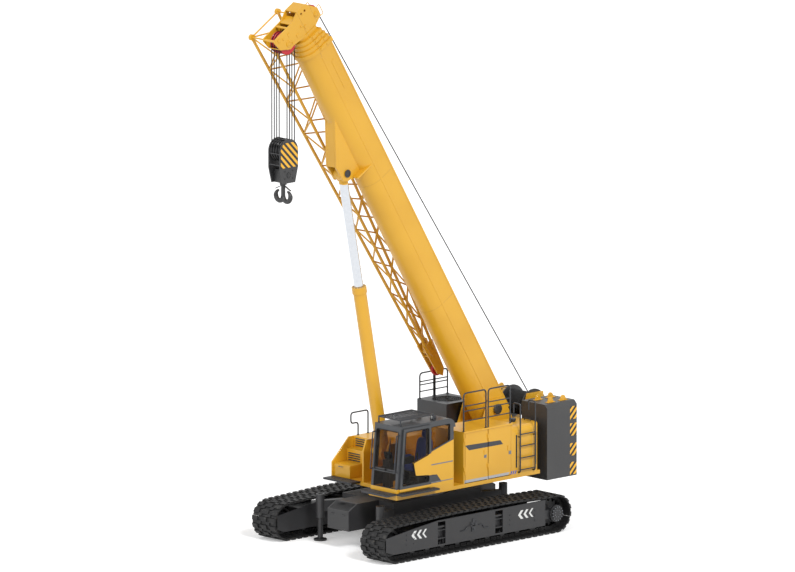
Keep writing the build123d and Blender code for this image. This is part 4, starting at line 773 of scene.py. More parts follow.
def drum_turns():
    """A helix on the drum, one rope's width to a turn."""
    turns = int(0.70 / (2.15 * ROPE))
    angle = np.linspace(0, 2 * pi * turns, turns * 24 + 1)
    y = np.linspace(-0.35, 0.35, len(angle))
    return DRUM + np.stack([np.cos(angle) * DRUM_ROPE, y, np.sin(angle) * DRUM_ROPE], -1)


rope("rope on the drum", [drum_turns()], ACROSS, "hoist_drum")


# Cab
CAB_LEFT, CAB_RIGHT, CAB_LOW, CAB_TOP = 1.450, 0.550, 1.500, 3.080
CAB_MIDDLE = (CAB_LEFT + CAB_RIGHT) / 2
DOOR_FACE = 1.500
WINDOW_TOP = 2.945
DOOR_BACK = 0.865            # rear edge of the door's window


def front_x(z):
    """Outer face of the raked windscreen at a height."""
    return 1.893 - 0.146 * (z - CAB_LOW) / (CAB_TOP - CAB_LOW)


def sweep_top(x):
    """Upper edge of the painted panel that sweeps back over door and side."""
    return 2.162 + (1.387 - x) * 0.28


def sweep_low(x):
    """Lower edge of that panel on the door."""
    return 1.834 - (1.313 - x) * 0.089


def seal(corners):
    """Rubber round a window: a bar along its outline, eased at the corners, ending where it starts."""
    corners = np.asarray(corners, float)
    middle = (corners[0] + corners[1]) / 2
    return bent(np.concatenate([[middle], corners[1:], corners[:1], [middle]]), 0.05)


def door_outline(y):
    low = CAB_LOW + 0.145
    return [(DOOR_BACK, y, WINDOW_TOP), (front_x(WINDOW_TOP) - 0.135, y, WINDOW_TOP), (front_x(low) - 0.135, y, low),
            (DOOR_BACK, y, low), (DOOR_BACK, y, sweep_low(DOOR_BACK)), (1.313, y, 1.834), (1.387, y, 2.162),
            (DOOR_BACK, y, sweep_top(DOOR_BACK))]


def quarter_outline(y):
    return [(0.12, y, WINDOW_TOP), (0.7525, y, WINDOW_TOP), (0.7525, y, sweep_top(0.7525) + 0.0375),
            (0.12, y, sweep_top(0.12) + 0.0375)]


def screen_outline(low, high):
    """Corners of a pane in the raked front."""
    y0, y1 = CAB_RIGHT + 0.075, CAB_LEFT - 0.075
    return [(front_x(high) + 0.002, y0, high), (front_x(high) + 0.002, y1, high), (front_x(low) + 0.002, y1, low),
            (front_x(low) + 0.002, y0, low)]


piece("door window seal", pipes([seal(door_outline(DOOR_FACE - 0.001))], 0.011, 8, ACROSS), "rubber",
      "sliding_cab_door")
piece("quarter window seal", pipes([seal(quarter_outline(CAB_LEFT - 0.006))], 0.009, 8, ACROSS), "rubber",
      "superstructure")
piece("windscreen seal", pipes([seal(screen_outline(1.980, WINDOW_TOP))], 0.011, 8, (1, 0, 0.1)), "rubber",
      "superstructure")


def wiper(y, low, high, lean):
    """Arm from its spindle and a blade across its end, just off the glass."""
    foot, end = (front_x(low) + 0.03, y, low), (front_x(high) + 0.022, y + lean, high)
    arm = pipes([line(foot, end, 3)], 0.008, 8, (1, 0.1, 0))
    spindle = lathes([(0.022, -0.03), (0.022, 0.006), (0.012, 0.012)], [foot], (1, 0, 0.1), 12)
    reach = 0.26
    blade = blocks([(front_x(high) + 0.010, y + lean, high)], [(0.008, 0.010, reach)],
                   np.stack([unit(np.array([1, 0, 0.097])), ACROSS, unit(np.array([-0.097, 0, 1]))]))
    return joined(arm, spindle, blade)


piece("wiper", wiper(1.02, 2.00, 2.50, 0.10), "rubber", "superstructure")


def roof_mesh():
    """Wires both ways in the roof guard's frame."""
    x0, x1 = 0.6115, 1.6946
    y0, y1, z = CAB_RIGHT + 0.075, CAB_LEFT - 0.075, CAB_TOP + 0.150
    lengthwise = [[(x0, y, z), (x1, y, z)] for y in np.linspace(y0, y1, 20)[1:-1]]
    crosswise = [[(x, y0, z), (x, y1, z)] for x in np.linspace(x0, x1, 30)[1:-1]]
    return joined(pipes(lengthwise, 0.004, 6, (0, 0, 1)), pipes(crosswise, 0.004, 6, (0, 0, 1)))


piece("roof guard mesh", roof_mesh(), "black", "superstructure")


def door_fittings():
    """Pull handle on the door's front edge and the lock behind it."""
    x, y = front_x(2.04) - 0.09, DOOR_FACE
    handle = pipes([bent([(x, y, 1.93), (x, y + 0.035, 1.93), (x, y + 0.035, 2.15), (x, y, 2.15)], 0.025)],
                   0.010, 8, (1, 0, 0))
    lock = lathes([(0.026, 0.0), (0.026, 0.010), (0.014, 0.014)], [(x, y, 1.86)], ACROSS, 14)
    return joined(handle, lock)


piece("cab door handle", door_fittings(), "black", "sliding_cab_door")
slide = joined(blocks([(0.41, CAB_LEFT + 0.002, 2.025)], [(0.38, 0.002, 0.014)]),
               blocks([(0.41, CAB_LEFT + 0.002, 1.59)], [(0.38, 0.002, 0.010)]))
piece("door slide rail", slide, "steel", "superstructure")


# Operator's seat
def pillow(centre, half, lean=0.0, power=0.38):
    """A crowned pad: an ellipsoid whose sines and cosines are raised to a low power, leaned back by an angle."""
    rise = np.radians(np.linspace(-86, 86, 21))[:, None]
    turn = np.linspace(0, 2 * pi, 36, endpoint=False)[None]

    def soft(value):
        return np.sign(value) * np.abs(value) ** power

    ring = soft(np.cos(rise))
    x, y, z = ring * soft(np.cos(turn)), ring * soft(np.sin(turn)), soft(np.sin(rise)) * np.ones_like(turn)
    x, y, z = x * half[0], y * half[1], z * half[2]
    place = np.stack([x * cos(lean) - z * sin(lean), y, x * sin(lean) + z * cos(lean)], -1)
    return lofts((np.asarray(centre) + place)[None])


SEAT_LEAN = radians(9.8)
seat_pads = {"seat cushion": ((0.83, CAB_MIDDLE, 1.915), (0.255, 0.25, 0.068), 0.0),
             "seat back": ((0.560, CAB_MIDDLE, 2.26), (0.066, 0.24, 0.335), SEAT_LEAN),
             "head rest": ((0.462, CAB_MIDDLE, 2.685), (0.048, 0.14, 0.10), SEAT_LEAN),
             "left arm pad": ((0.88, CAB_MIDDLE + 0.325, 2.152), (0.20, 0.042, 0.022), 0.0),
             "right arm pad": ((0.88, CAB_MIDDLE - 0.325, 2.152), (0.20, 0.042, 0.022), 0.0)}
for pad_name, (pad_centre, pad_half, pad_lean) in seat_pads.items():
    pad = piece(pad_name, pillow(pad_centre, pad_half, pad_lean), "seat", "superstructure")
seat_stand = joined(
    blocks([(0.84, CAB_MIDDLE, 1.53), (0.84, CAB_MIDDLE, 1.835)], [(0.22, 0.20, 0.03), (0.22, 0.20, 0.014)]),
    lathes([(0.15, 0.0), (0.16, 0.03), (0.14, 0.05), (0.16, 0.08), (0.14, 0.10), (0.16, 0.13), (0.14, 0.16),
            (0.16, 0.19), (0.14, 0.22), (0.15, 0.262)], [(0.84, CAB_MIDDLE, 1.56)], (0, 0, 1), 28),
    pipes([line((0.498, CAB_MIDDLE + y, 2.53), (0.470, CAB_MIDDLE + y, 2.65), 2) for y in (-0.06, 0.06)],
          0.008, 8, ACROSS))
stand = piece("seat stand", seat_stand, "plastic", "superstructure", bevel=0.004)
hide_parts("seat")


def controls():
    """A lever with a knob on each arm console, and a screen on the instrument post."""
    places = [(1.07, CAB_MIDDLE + side * 0.325, 2.13) for side in (-1, 1)]
    levers = lathes([(0.035, 0.0), (0.030, 0.03), (0.010, 0.05), (0.010, 0.14), (0.024, 0.16), (0.027, 0.20),
                     (0.018, 0.23), (0.006, 0.236)], places, (0.12, 0, 1), 16)
    screen = blocks([(1.50, CAB_RIGHT + 0.20, 2.26)], [(0.02, 0.13, 0.09)],
                    np.stack([unit(np.array([1, 0, -0.25])), ACROSS, unit(np.array([0.25, 0, 1]))]))
    return joined(levers, screen)


piece("levers and screen", controls(), "rubber", "superstructure", bevel=0.003)


# Housings and tank
def latch(x, y, z):
    """A flush square plate with a turning key in its middle."""
    plate_half = 0.042
    body = blocks([(x, y + 0.003, z)], [(plate_half, 0.003, plate_half)])
    key = lathes([(0.022, 0.0), (0.022, 0.005), (0.012, 0.008)], [(x, y + 0.006, z)], ACROSS, 16)
    grip = blocks([(x, y + 0.014, z)], [(0.006, 0.004, 0.018)])
    return joined(body, key, grip)


LEAF_FACE = 1.450
piece("front door latch", latch(-1.055, LEAF_FACE, 1.99), "steel", "front_housing_door", bevel=0.002)
piece("rear door latch", latch(-1.88, LEAF_FACE, 1.965), "steel", "rear_housing_door", bevel=0.002)


def handle(start, end, out, radius=0.011, reach=0.05):
    """A bent bar that stands off a face between two feet."""
    start, end = np.asarray(start, float), np.asarray(end, float)
    lift = unit(np.asarray(out, float)) * reach
    path = bent([start, start + lift, end + lift, end], reach * 0.6)
    return pipes([path], radius, 10, np.cross(lift, end - start))


TANK_TOP = float(HIGH["fuel_tank"][2])


def tank_fittings():
    """Two straps, filler neck and two hand holds."""
    straps = blocks([(x, 1.4525, 1.96) for x in (-2.10, -2.74)], [(0.022, 0.0025, 0.40)])
    filler = lathes([(0.07, 0.0), (0.07, 0.03), (0.085, 0.032), (0.085, 0.075), (0.06, 0.085)],
                    [(-2.45, 0.95, TANK_TOP)], (0, 0, 1), 24)
    holds = joined(handle((-2.02, 1.30, TANK_TOP), (-2.02, 1.10, TANK_TOP), (0, 0, 1)),
                   handle((-2.80, 1.20, TANK_TOP), (-2.80, 1.00, TANK_TOP), (0, 0, 1)))
    return joined(straps, filler, holds)


piece("tank fittings", tank_fittings(), "black", "superstructure", bevel=0.002)


def cooler_guard():
    """Rings and spokes over the fan, and eight twisted blades on a hub below them."""
    centre = np.array([float(LOW["cooler"][0] + HIGH["cooler"][0]) / 2, -0.99, 2.893])
    angle = np.linspace(0, 2 * pi, 49)
    ring = np.stack([np.cos(angle), np.sin(angle), np.zeros(49)], -1)
    rings = pipes([centre + ring * radius for radius in np.linspace(0.06, 0.355, 7)], 0.005, 6, (0, 0, 1))
    around = np.arange(8) * pi / 4
    spoke = np.stack([np.cos(around), np.sin(around), np.zeros(8)], -1)
    spokes = pipes(np.stack([centre + spoke * 0.05, centre + spoke * 0.362], 1), 0.006, 6, (0, 0, 1))
    along = np.stack([-np.sin(around), np.cos(around), np.full(8, 0.55)], -1)
    axes = np.stack([spoke, unit(along), np.cross(spoke, unit(along))], 1)
    blades = blocks(centre - [0, 0, 0.09] + spoke * 0.19, (0.13, 0.055, 0.004), axes)
    hub = lathes([(0.07, -0.14), (0.07, -0.05), (0.03, -0.03)], [centre], (0, 0, 1), 20)
    return joined(rings, spokes, blades, hub)


piece("fan and guard", cooler_guard(), "black", "superstructure")


def box_lids():
    """Toolbox lid and its front plate ahead of the right housing."""
    lid = blocks([(0.995, -1.18, 1.712)], [(0.205, 0.27, 0.006)])
    front = blocks([(1.202, -1.18, 1.655)], [(0.004, 0.27, 0.045)])
    return joined(lid, front)


piece("toolbox lid", box_lids(), "yellow", "superstructure", bevel=0.003)
piece("toolbox handle", handle((1.206, -1.27, 1.665), (1.206, -1.13, 1.665), (1, 0, 0), 0.008, 0.03), "steel",
      "superstructure")


# Counterweight and winch
WEIGHT_TOP = float(HIGH["counterweight_top"][2])


def lifting_lugs():
    """Plates with an eye on top of each upper block, beside a stiff foot."""
    outline = [(-0.10, 0.0), (0.10, 0.0), (0.075, 0.07), (0.045, 0.115), (0.0, 0.13), (-0.045, 0.115), (-0.075, 0.07)]
    lugs = [slab(outline, -0.018, 0.018, (x, y, WEIGHT_TOP)) for x in (-3.40, -3.82) for y in (0.85, 1.28)]
    feet = blocks([(x, y, WEIGHT_TOP + 0.008) for x in (-3.40, -3.82) for y in (0.85, 1.28)], [(0.13, 0.05, 0.008)])
    return mirrored(joined(*lugs, feet))


piece("lifting lugs", lifting_lugs(), "yellow", "superstructure", bevel=0.004)


def winch_fittings():
    """Gear case and motor outside the winch's left plate, a bearing cap outside the right one, with their bolts."""
    y = float(HIGH["winch_frame"][1])
    case = lathes([(0.17, 0.0), (0.17, 0.05), (0.13, 0.06), (0.13, 0.11), (0.10, 0.12), (0.10, 0.15)],
                  [(DRUM[0], y, DRUM[2])], ACROSS, 28)
    cap = lathes([(0.13, 0.0), (0.13, 0.03), (0.06, 0.04)], [(DRUM[0], -y, DRUM[2])], -ACROSS, 28)
    heads = joined(bolt_ring((DRUM[0], y + 0.05, DRUM[2]), ACROSS, 0.15, 12, 0.012),
                   bolt_ring((DRUM[0], -y - 0.03, DRUM[2]), -ACROSS, 0.10, 10, 0.011))
    return joined(case, cap, heads)


piece("winch gear and caps", winch_fittings(), "grey", "superstructure")
rear_lights = [(-4.081, side * y, 1.30) for side in (-1, 1) for y in (0.90, 1.06)]
piece("rear lights", lathes([(0.05, 0.0), (0.05, 0.012), (0.03, 0.018)], rear_lights, (-1, 0, 0), 18), "red",
      "superstructure")


# Carbody
def nose_lids():
    """Lid on the slanted top of the box ahead of the carbody, with a handle, and two catches on its front."""
    slope = unit(np.array([0.290, 0.0, -0.160]))
    out = np.cross(slope, ACROSS) * -1
    centre = np.array([2.305, 0.0, 1.030])
    lid = blocks([centre + out * 0.004], [(0.150, 0.335, 0.004)], np.stack([slope, ACROSS, np.cross(slope, ACROSS)]))
    grip = handle(centre + out * 0.006 - ACROSS * 0.06, centre + out * 0.006 + ACROSS * 0.06, out, 0.009, 0.035)
    catches = joined(*[handle((2.451, y - 0.04, 0.86), (2.451, y + 0.04, 0.86), (1, 0, -0.4), 0.007, 0.025)
                       for y in (-0.19, 0.19)])
    heads = lathes([(0.012, 0.0), (0.012, 0.008)], [(2.450, y, z) for y in (-0.32, 0.32) for z in (0.52, 0.90)],
                   (1, 0, 0), 6)
    return joined(lid, grip, catches, heads)


piece("front box lid", nose_lids(), "grey", "undercarriage", bevel=0.002)
ring_bolts = bolt_ring((0, 0, float(LOW["slew_ring"][2]) + 0.02), (0, 0, 1), 0.895, 44, 0.016)
piece("slew ring bolts", ring_bolts, "steel", "undercarriage")


# Luffing cylinder
BASE_PIN = np.array([0.950, 0.0, 2.149])
ROD_PIN = np.array(JOINT["luffing_rod_swing"]["pos_m"])
THRUST = unit(ROD_PIN - BASE_PIN)
BESIDE = np.cross(ACROSS, THRUST)


def on_cylinder(along, round_angle, radius):
    """Point along the luffing cylinder at a radius, turned round from its left side."""
    return BASE_PIN + THRUST * along + radius * (ACROSS * cos(round_angle) + BESIDE * sin(round_angle))


def cylinder_lines():
    """Two steel pipes along the barrel in clamps, from the valve at its foot to the gland."""
    lines = [bent([on_cylinder(0.62, turn, 0.20), on_cylinder(0.78, turn, 0.196), on_cylinder(4.00, turn, 0.196),
                   on_cylinder(4.06, turn, 0.17)], 0.05) for turn in (-2.0, -1.75)]
    clamps = [on_cylinder(s, -1.875, 0.185) for s in (1.1, 2.0, 2.9, 3.8)]
    axes = np.stack([THRUST, unit(np.cross(THRUST, on_cylinder(0, -1.875, 1) - BASE_PIN)),
                     unit(on_cylinder(0, -1.875, 1) - BASE_PIN)])
    valve = blocks([on_cylinder(0.55, -1.875, 0.20)], [(0.10, 0.07, 0.045)], axes)
    return joined(pipes(lines, 0.013, 8, ACROSS), blocks(clamps, [(0.02, 0.05, 0.028)], axes), valve)


piece("cylinder pipes", cylinder_lines(), "yellow", "luffing_barrel", bevel=0.003)
gland_bolts = bolt_ring(on_cylinder(4.241, 0, 0), THRUST, 0.145, 12, 0.012)
piece("gland bolts", gland_bolts, "steel", "luffing_barrel")


# Boom
BOOM_AXES = np.stack([ALONG, ACROSS, UPWARD])


def boom_blocks(rows):
    """Boxes set square to the boom: (s, n, y) middles with half sizes along it, across and up."""
    return joined(*[blocks([on_boom(s, n, y)], [half], BOOM_AXES) for (s, n, y), half in rows])


def boom_welds():
    """Flat strips on both sides where belly and side plates meet, doubler plates, and top edge strips."""
    rows = []
    for side in (-1, 1):
        rows.append(((5.55, -0.030, side * 0.352), (5.40, 0.004, 0.022)))
        rows.append(((5.55, 0.405, side * 0.351), (5.40, 0.003, 0.014)))
        rows.append(((0.15, 0.10, side * 0.354), (0.38, 0.005, 0.20)))
        rows.append(((10.25, 0.20, side * 0.353), (0.42, 0.004, 0.05)))
        rows.append(((8.90, 0.02, side * 0.353), (0.75, 0.004, 0.03)))
    return boom_blocks(rows)


piece("boom strips", boom_welds(), "yellow", "base_section", bevel=0.003)


def boom_rollers():
    """Brackets on the boom's back with a rope roller between each pair."""
    rows, rollers = [], []
    for s in (4.2, 8.0):
        rows += [((s, 0.455, side * 0.13), (0.045, 0.010, 0.035)) for side in (-1, 1)]
        rollers.append(on_boom(s, 0.462))
    bars = [np.stack([place - ACROSS * 0.13, place + ACROSS * 0.13]) for place in rollers]
    return joined(boom_blocks(rows), pipes(bars, 0.022, 14, UPWARD))


piece("rope rollers", boom_rollers(), "yellow", "base_section", bevel=0.003)


def collar_pads(end, inset):
    """Slide pad covers round a section's collar."""
    half = 0.350 - inset + 0.034
    top = 0.420 - inset + 0.034
    rows = [((end - 0.055, n, side * (half + 0.006)), (0.040, 0.006, 0.055)) for side in (-1, 1) for n in (0.06, 0.28)]
    rows += [((end - 0.055, top + 0.006, y), (0.040, 0.055, 0.006)) for y in (-0.20, 0.20)]
    return boom_blocks(rows)


for section_body, section_end, section_inset in (("base_section", 11.20, 0.0), ("second_section", 11.31, 0.032),
                                                 ("third_section", 11.42, 0.064), ("fourth_section", 11.53, 0.096)):
    piece("collar pads of the " + section_body.replace("_", " "), collar_pads(section_end, section_inset), "yellow",
          section_body, bevel=0.003)


def pin_cap(centre, face, radius):
    """A round keeper plate with bolts at a pin's end, on both sides of the boom."""
    shapes = []
    for side in (-1, 1):
        place = np.asarray(centre) + ACROSS * side * face
        shapes.append(lathes([(radius, 0.0), (radius, 0.012), (radius * 0.86, 0.018)], [place], ACROSS * side, 28))
        shapes.append(bolt_ring(place + ACROSS * side * 0.014, ACROSS * side, radius * 0.62, 6, 0.014))
    return joined(*shapes)


piece("boom foot caps", pin_cap(FOOT, 0.471, 0.125), "grey", "superstructure")
piece("luffing pin caps", pin_cap(ROD_PIN, 0.193, 0.095), "grey", "base_section")
piece("head axle caps", joined(pin_cap(HEAD, 0.2065, 0.085), pin_cap(GUIDE, 0.2065, 0.075)), "yellow", "tip_section")


def head_fittings():
    """Rope keeper bars across the head, lugs on its cheeks, and a hoop over the guide sheave."""
    bars = [np.stack([on_boom(s, n, -0.176), on_boom(s, n, 0.176)])
            for s, n in ((12.02, -0.40), (11.85, -0.93), (11.98, 0.30))]
    keepers = pipes(bars, 0.014, 10, UPWARD)
    lugs = boom_blocks([((s, n, side * 0.212), (0.045, 0.006, 0.035)) for side in (-1, 1)
                        for s, n in ((11.78, -0.30), (11.98, -0.52), (11.80, 0.02), (12.05, -0.85))])
    studs = lathes([(0.024, 0.0), (0.024, 0.018), (0.016, 0.024)],
                   [on_boom(s, n, 0.206) for s, n in ((11.90, -0.10), (11.74, -0.52), (12.00, -0.72))], ACROSS, 12)
    hoops_over = [bent([on_boom(11.74, 0.455, y), on_boom(11.70, 0.66, y), on_boom(12.00, 0.66, y),
                        on_boom(11.96, 0.455, y)], 0.06) for y in (-0.19, 0.19)]
    return joined(keepers, lugs, mirrored(studs), pipes(hoops_over, 0.010, 8, ACROSS))


piece("head fittings", head_fittings(), "yellow", "tip_section", bevel=0.002)


# Hook block
def hazard_plates():
    """Striped plate on each cheek of the block, its upper corners cut."""
    outline = [(-0.275, -0.39), (0.275, -0.39), (0.275, 0.06), (0.18, 0.21), (-0.18, 0.21), (-0.275, 0.06)]
    return joined(*[slab(outline, -0.216, -0.2105, (BLOCK[0], 0, BLOCK[2])),
                    slab(outline, 0.2105, 0.216, (BLOCK[0], 0, BLOCK[2]))])


piece("block hazard plates", hazard_plates(), "hazard", "lower_block")


def block_fittings():
    """Axle caps and bolts on the block's cheeks below the striped plates, and rope guards between them."""
    caps = pin_cap((BLOCK[0], 0, BLOCK[2] - 0.58), 0.2105, 0.075)
    heads = lathes([(0.018, 0.0), (0.018, 0.014)],
                   [(BLOCK[0] + x, 0.2105, BLOCK[2] + z) for x in (-0.13, 0.13) for z in (-0.66, -0.48)], ACROSS, 6)
    guards = [np.stack([[BLOCK[0] + x, -0.176, BLOCK[2] + 0.272], [BLOCK[0] + x, 0.176, BLOCK[2] + 0.272]])
              for x in (-0.07, 0.07)]
    return joined(caps, mirrored(heads), pipes(guards, 0.013, 10, (0, 0, 1)))


piece("block fittings", block_fittings(), "grey", "lower_block")


def hook_catches():
    """Spring catches across both mouths of the hook, from its shank to the horns' points."""
    low = float(LOW["hook"][2])
    shapes = []
    for side in (-1, 1):
        top = np.array([BLOCK[0], side * 0.06, low + 0.43])
        tip = np.array([BLOCK[0], side * 0.262, low + 0.335])
        axis = unit(tip - top)
        axes = np.stack([np.array([1.0, 0, 0]), axis, np.cross([1.0, 0, 0], axis)])
        shapes.append(blocks([(top + tip) / 2], [(0.022, np.linalg.norm(tip - top) / 2, 0.008)], axes))
    collar = lathes([(0.085, 0.0), (0.085, 0.05), (0.065, 0.06)], [(BLOCK[0], 0, float(LOW["hook_block"][2]) - 0.062)],
                    (0, 0, 1), 24)
    return joined(*shapes, collar)


piece("hook catches", hook_catches(), "grey", "crane_hook", bevel=0.003)


# Bent rails and the ladder
RAIL = 0.019
LEFT_RAIL_Y, FAR_RAIL_Y = 1.412, -1.462
HOUSING_TOP = float(HIGH["left_housing"][2])
COOLER_TOP = float(HIGH["cooler"][2])
RIGHT_TOP = float(HIGH["right_housing"][2])
LEFT_POSTS = ((-1.112, -0.368), (-1.922, -1.188))
FAR_POSTS = ((-2.140, -1.670), (-2.600, -2.180))


def rail_panel(x0, x1, y, z, height):
    """One bent tube as posts and top, with three level bars between."""
    frame_path = bent([(x0, y, z), (x0, y, z + height), (x1, y, z + height), (x1, y, z)], 0.10)
    bars = [line((x0, y, z + height * share), (x1, y, z + height * share)) for share in (0.27, 0.53, 0.66)]
    return joined(pipes([frame_path], RAIL, 12, ACROSS), pipes(bars, RAIL * 0.8, 10, ACROSS))


def rails():
    """Panels on the left housing and the cooler, and the loop with a set-back post on the right housing."""
    panels = [rail_panel(x0, x1, LEFT_RAIL_Y, HOUSING_TOP, 0.94) for x0, x1 in LEFT_POSTS]
    panels += [rail_panel(x0, x1, FAR_RAIL_Y, COOLER_TOP, 0.62) for x0, x1 in FAR_POSTS]
    y, z = FAR_RAIL_Y, RIGHT_TOP
    loop = bent([(0.06, y, z), (0.06, y, z + 0.57), (0.63, y, z + 0.57), (0.63, y, z + 0.31), (0.39, y, z + 0.31),
                 (0.39, y, z)], 0.08)
    return joined(*panels, pipes([loop], RAIL, 12, ACROSS))


made_rails = piece("rails", rails(), "black", "superstructure")
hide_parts("handrails")
feet = [(x, LEFT_RAIL_Y, HOUSING_TOP) for posts in LEFT_POSTS for x in posts]
feet += [(x, FAR_RAIL_Y, COOLER_TOP) for posts in FAR_POSTS for x in posts]
feet += [(x, FAR_RAIL_Y, RIGHT_TOP) for x in (0.06, 0.39)]
piece("rail feet", lathes([(0.036, 0.0), (0.036, 0.008), (0.026, 0.014)], feet, (0, 0, 1), 16), "black",
      "superstructure")


def tank_ladder():
    """Two rails bent in to the tank below and hooked over at the top, four rungs, and stand-offs."""
    y, places = 1.520, (-2.660, -2.160)
    sides = [bent([(x, 1.450, 1.44), (x, y, 1.44), (x, y, 3.12), (x, y - 0.23, 3.12), (x, y - 0.23, 2.88)], 0.055)
             for x in places]
    rungs = [line((places[0], y, z), (places[1], y, z)) for z in 1.503 + 0.29 * np.arange(4)]
    holds = [line((x, 1.450, 2.31), (x, y, 2.31)) for x in places]
    return joined(pipes(sides, RAIL, 12, (1, 0, 0)), pipes(rungs, RAIL * 0.8, 10, (0, 0, 1)),
                  pipes(holds, RAIL * 0.8, 10, (0, 0, 1)))


made_ladder = piece("tank ladder", tank_ladder(), "black", "superstructure")
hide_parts("ladder")


# Right housing as it steps down to the toolbox
def right_cover():
    """Long cover, a narrower stair with two risers ahead of it, and a slanted outer plate."""
    long_cover = slab([(-2.89, 1.40), (0.0, 1.40), (0.0, RIGHT_TOP), (-2.89, RIGHT_TOP)], 0.48, 1.50)
    stair = slab([(-0.02, 1.40), (1.20, 1.40), (1.20, 1.706), (0.78, 1.706), (0.78, 2.02), (0.54, 2.02),
                  (0.54, RIGHT_TOP), (-0.02, RIGHT_TOP)], 0.90, 1.46)
    flank = slab([(-0.02, 1.40), (1.25, 1.40), (1.25, 1.75), (0.69, RIGHT_TOP), (-0.02, RIGHT_TOP)], 1.46, 1.50)
    return joined(long_cover, stair, flank)


def louvres():
    """Slanted slats in both risers and along the long cover's outer side."""
    tilt = np.stack([unit(np.array([1, 0, -0.8])), ACROSS, unit(np.array([0.8, 0, 1]))])
    rows = [(x + 0.004, -1.18, z) for x, low in ((0.78, 1.76), (0.54, 2.075)) for z in low + 0.055 * np.arange(4)]
    front = blocks(rows, [(0.022, 0.20, 0.004)], tilt)
    side_tilt = np.stack([np.array([1.0, 0, 0]), unit(np.array([0, -1, -0.8])), unit(np.array([0, -0.8, 1]))])
    spots = [(x, -1.504, z) for x in (-0.75, -1.95) for z in 1.62 + 0.07 * np.arange(7)]
    return joined(front, blocks(spots, [(0.42, 0.024, 0.004)], side_tilt))


made_cover = piece("right cover", right_cover(), "yellow", "superstructure", bevel=0.008)
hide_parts("right_housing")
piece("louvre slats", louvres(), "grey", "superstructure")
eaves = blocks([(-1.145, 1.461, HOUSING_TOP - 0.012)], [(0.815, 0.011, 0.022)])
piece("left roof edge", eaves, "yellow", "superstructure", bevel=0.005)


# Steps and work lamps
def step_plates():
    """Plates ahead of and beside the cab, and ahead of the toolbox, each with raised treads."""
    plates = blocks([(2.053, 1.0, 1.4525), (1.2715, 1.55, 1.4525), (1.36, -1.01, 1.378)],
                    [(0.16, 0.45, 0.0225), (0.6215, 0.10, 0.0225), (0.16, 0.49, 0.0225)])
    treads = [((x, 1.0, 1.4765), (0.010, 0.43, 0.0025)) for x in np.linspace(1.94, 2.17, 8)]
    treads += [((1.27, y, 1.4765), (0.60, 0.008, 0.0025)) for y in np.linspace(1.48, 1.62, 5)]
    treads += [((x, -1.01, 1.402), (0.010, 0.47, 0.0025)) for x in np.linspace(1.25, 1.48, 8)]
    middle, half = zip(*treads)
    return joined(plates, blocks(middle, half))


made_steps = piece("step plates", step_plates(), "black", "superstructure", bevel=0.003)
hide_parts("steps")
LAMP_PLACES = [(0.50, y, CAB_TOP + 0.055) for y in (CAB_LEFT - 0.195, CAB_RIGHT + 0.195)]
made_lamps = piece("work lamps", blocks(LAMP_PLACES, [(0.05, 0.06, 0.053)]), "black", "superstructure", bevel=0.012)
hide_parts("lamps")
lens_places = [(x + 0.05, y, z) for x, y, z in LAMP_PLACES]
lenses = piece("work lamp lenses", lathes([(0.040, -0.01), (0.040, 0.003), (0.030, 0.007), (0.012, 0.010)], lens_places,
                                          (1, 0, 0), 20), "lens", "superstructure")


# Cab door with its sweeping panel
def ring_plate(outer, inner, y0, y1):
    """A flat frame: two outlines of like corners, joined across the plate's faces and edges."""
    rings = [[(x, y, z) for x, z in outline] for outline, y in ((outer, y1), (outer, y0), (inner, y0), (inner, y1))]
    corners = len(outer)
    faces = grid_faces(5, corners) % (4 * corners)
    return np.array(rings, float).reshape(-1, 3), [faces]


DOOR_IN, DOOR_OUT = 1.456, 1.500
DOOR_LOW = CAB_LOW + 0.010
PANE_LOW = CAB_LOW + 0.145


def door_frame():
    """Frame round the whole opening, and the opaque panel that reaches ahead from its rear edge."""
    outer = [(0.79, DOOR_LOW), (front_x(DOOR_LOW) - 0.06, DOOR_LOW), (front_x(3.02) - 0.06, 3.02), (0.79, 3.02)]
    inner = [(DOOR_BACK, PANE_LOW), (front_x(PANE_LOW) - 0.135, PANE_LOW),
             (front_x(WINDOW_TOP) - 0.135, WINDOW_TOP), (DOOR_BACK, WINDOW_TOP)]
    panel = slab([(DOOR_BACK - 0.01, sweep_low(DOOR_BACK)), (1.313, 1.834), (1.387, 2.162),
                  (DOOR_BACK - 0.01, sweep_top(DOOR_BACK))], -DOOR_OUT - 0.001, -DOOR_IN - 0.001)
    shoe = blocks([(0.8275, 1.4532, 2.074)], [(0.0375, 0.0028, 0.019)])
    return joined(ring_plate(outer, inner, DOOR_IN, DOOR_OUT), panel, shoe)


made_door = piece("sliding door", door_frame(), "cab", "sliding_cab_door", bevel=0.004)
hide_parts("cab_door")
door_pane = slab([(x, z) for x, y, z in door_outline(0.0)], -1.483, -1.473)
made_pane = piece("sliding door pane", door_pane, "glass", "sliding_cab_door")
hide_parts("cab_door_glass")
quarter_fill = slab([(0.11, 2.19), (0.765, 2.19), (0.765, sweep_top(0.765) + 0.0375), (0.11, sweep_top(0.11) + 0.0375)],
                    -1.4505, -1.4275)
piece("side panel under the quarter window", quarter_fill, "cab", "superstructure", bevel=0.003)


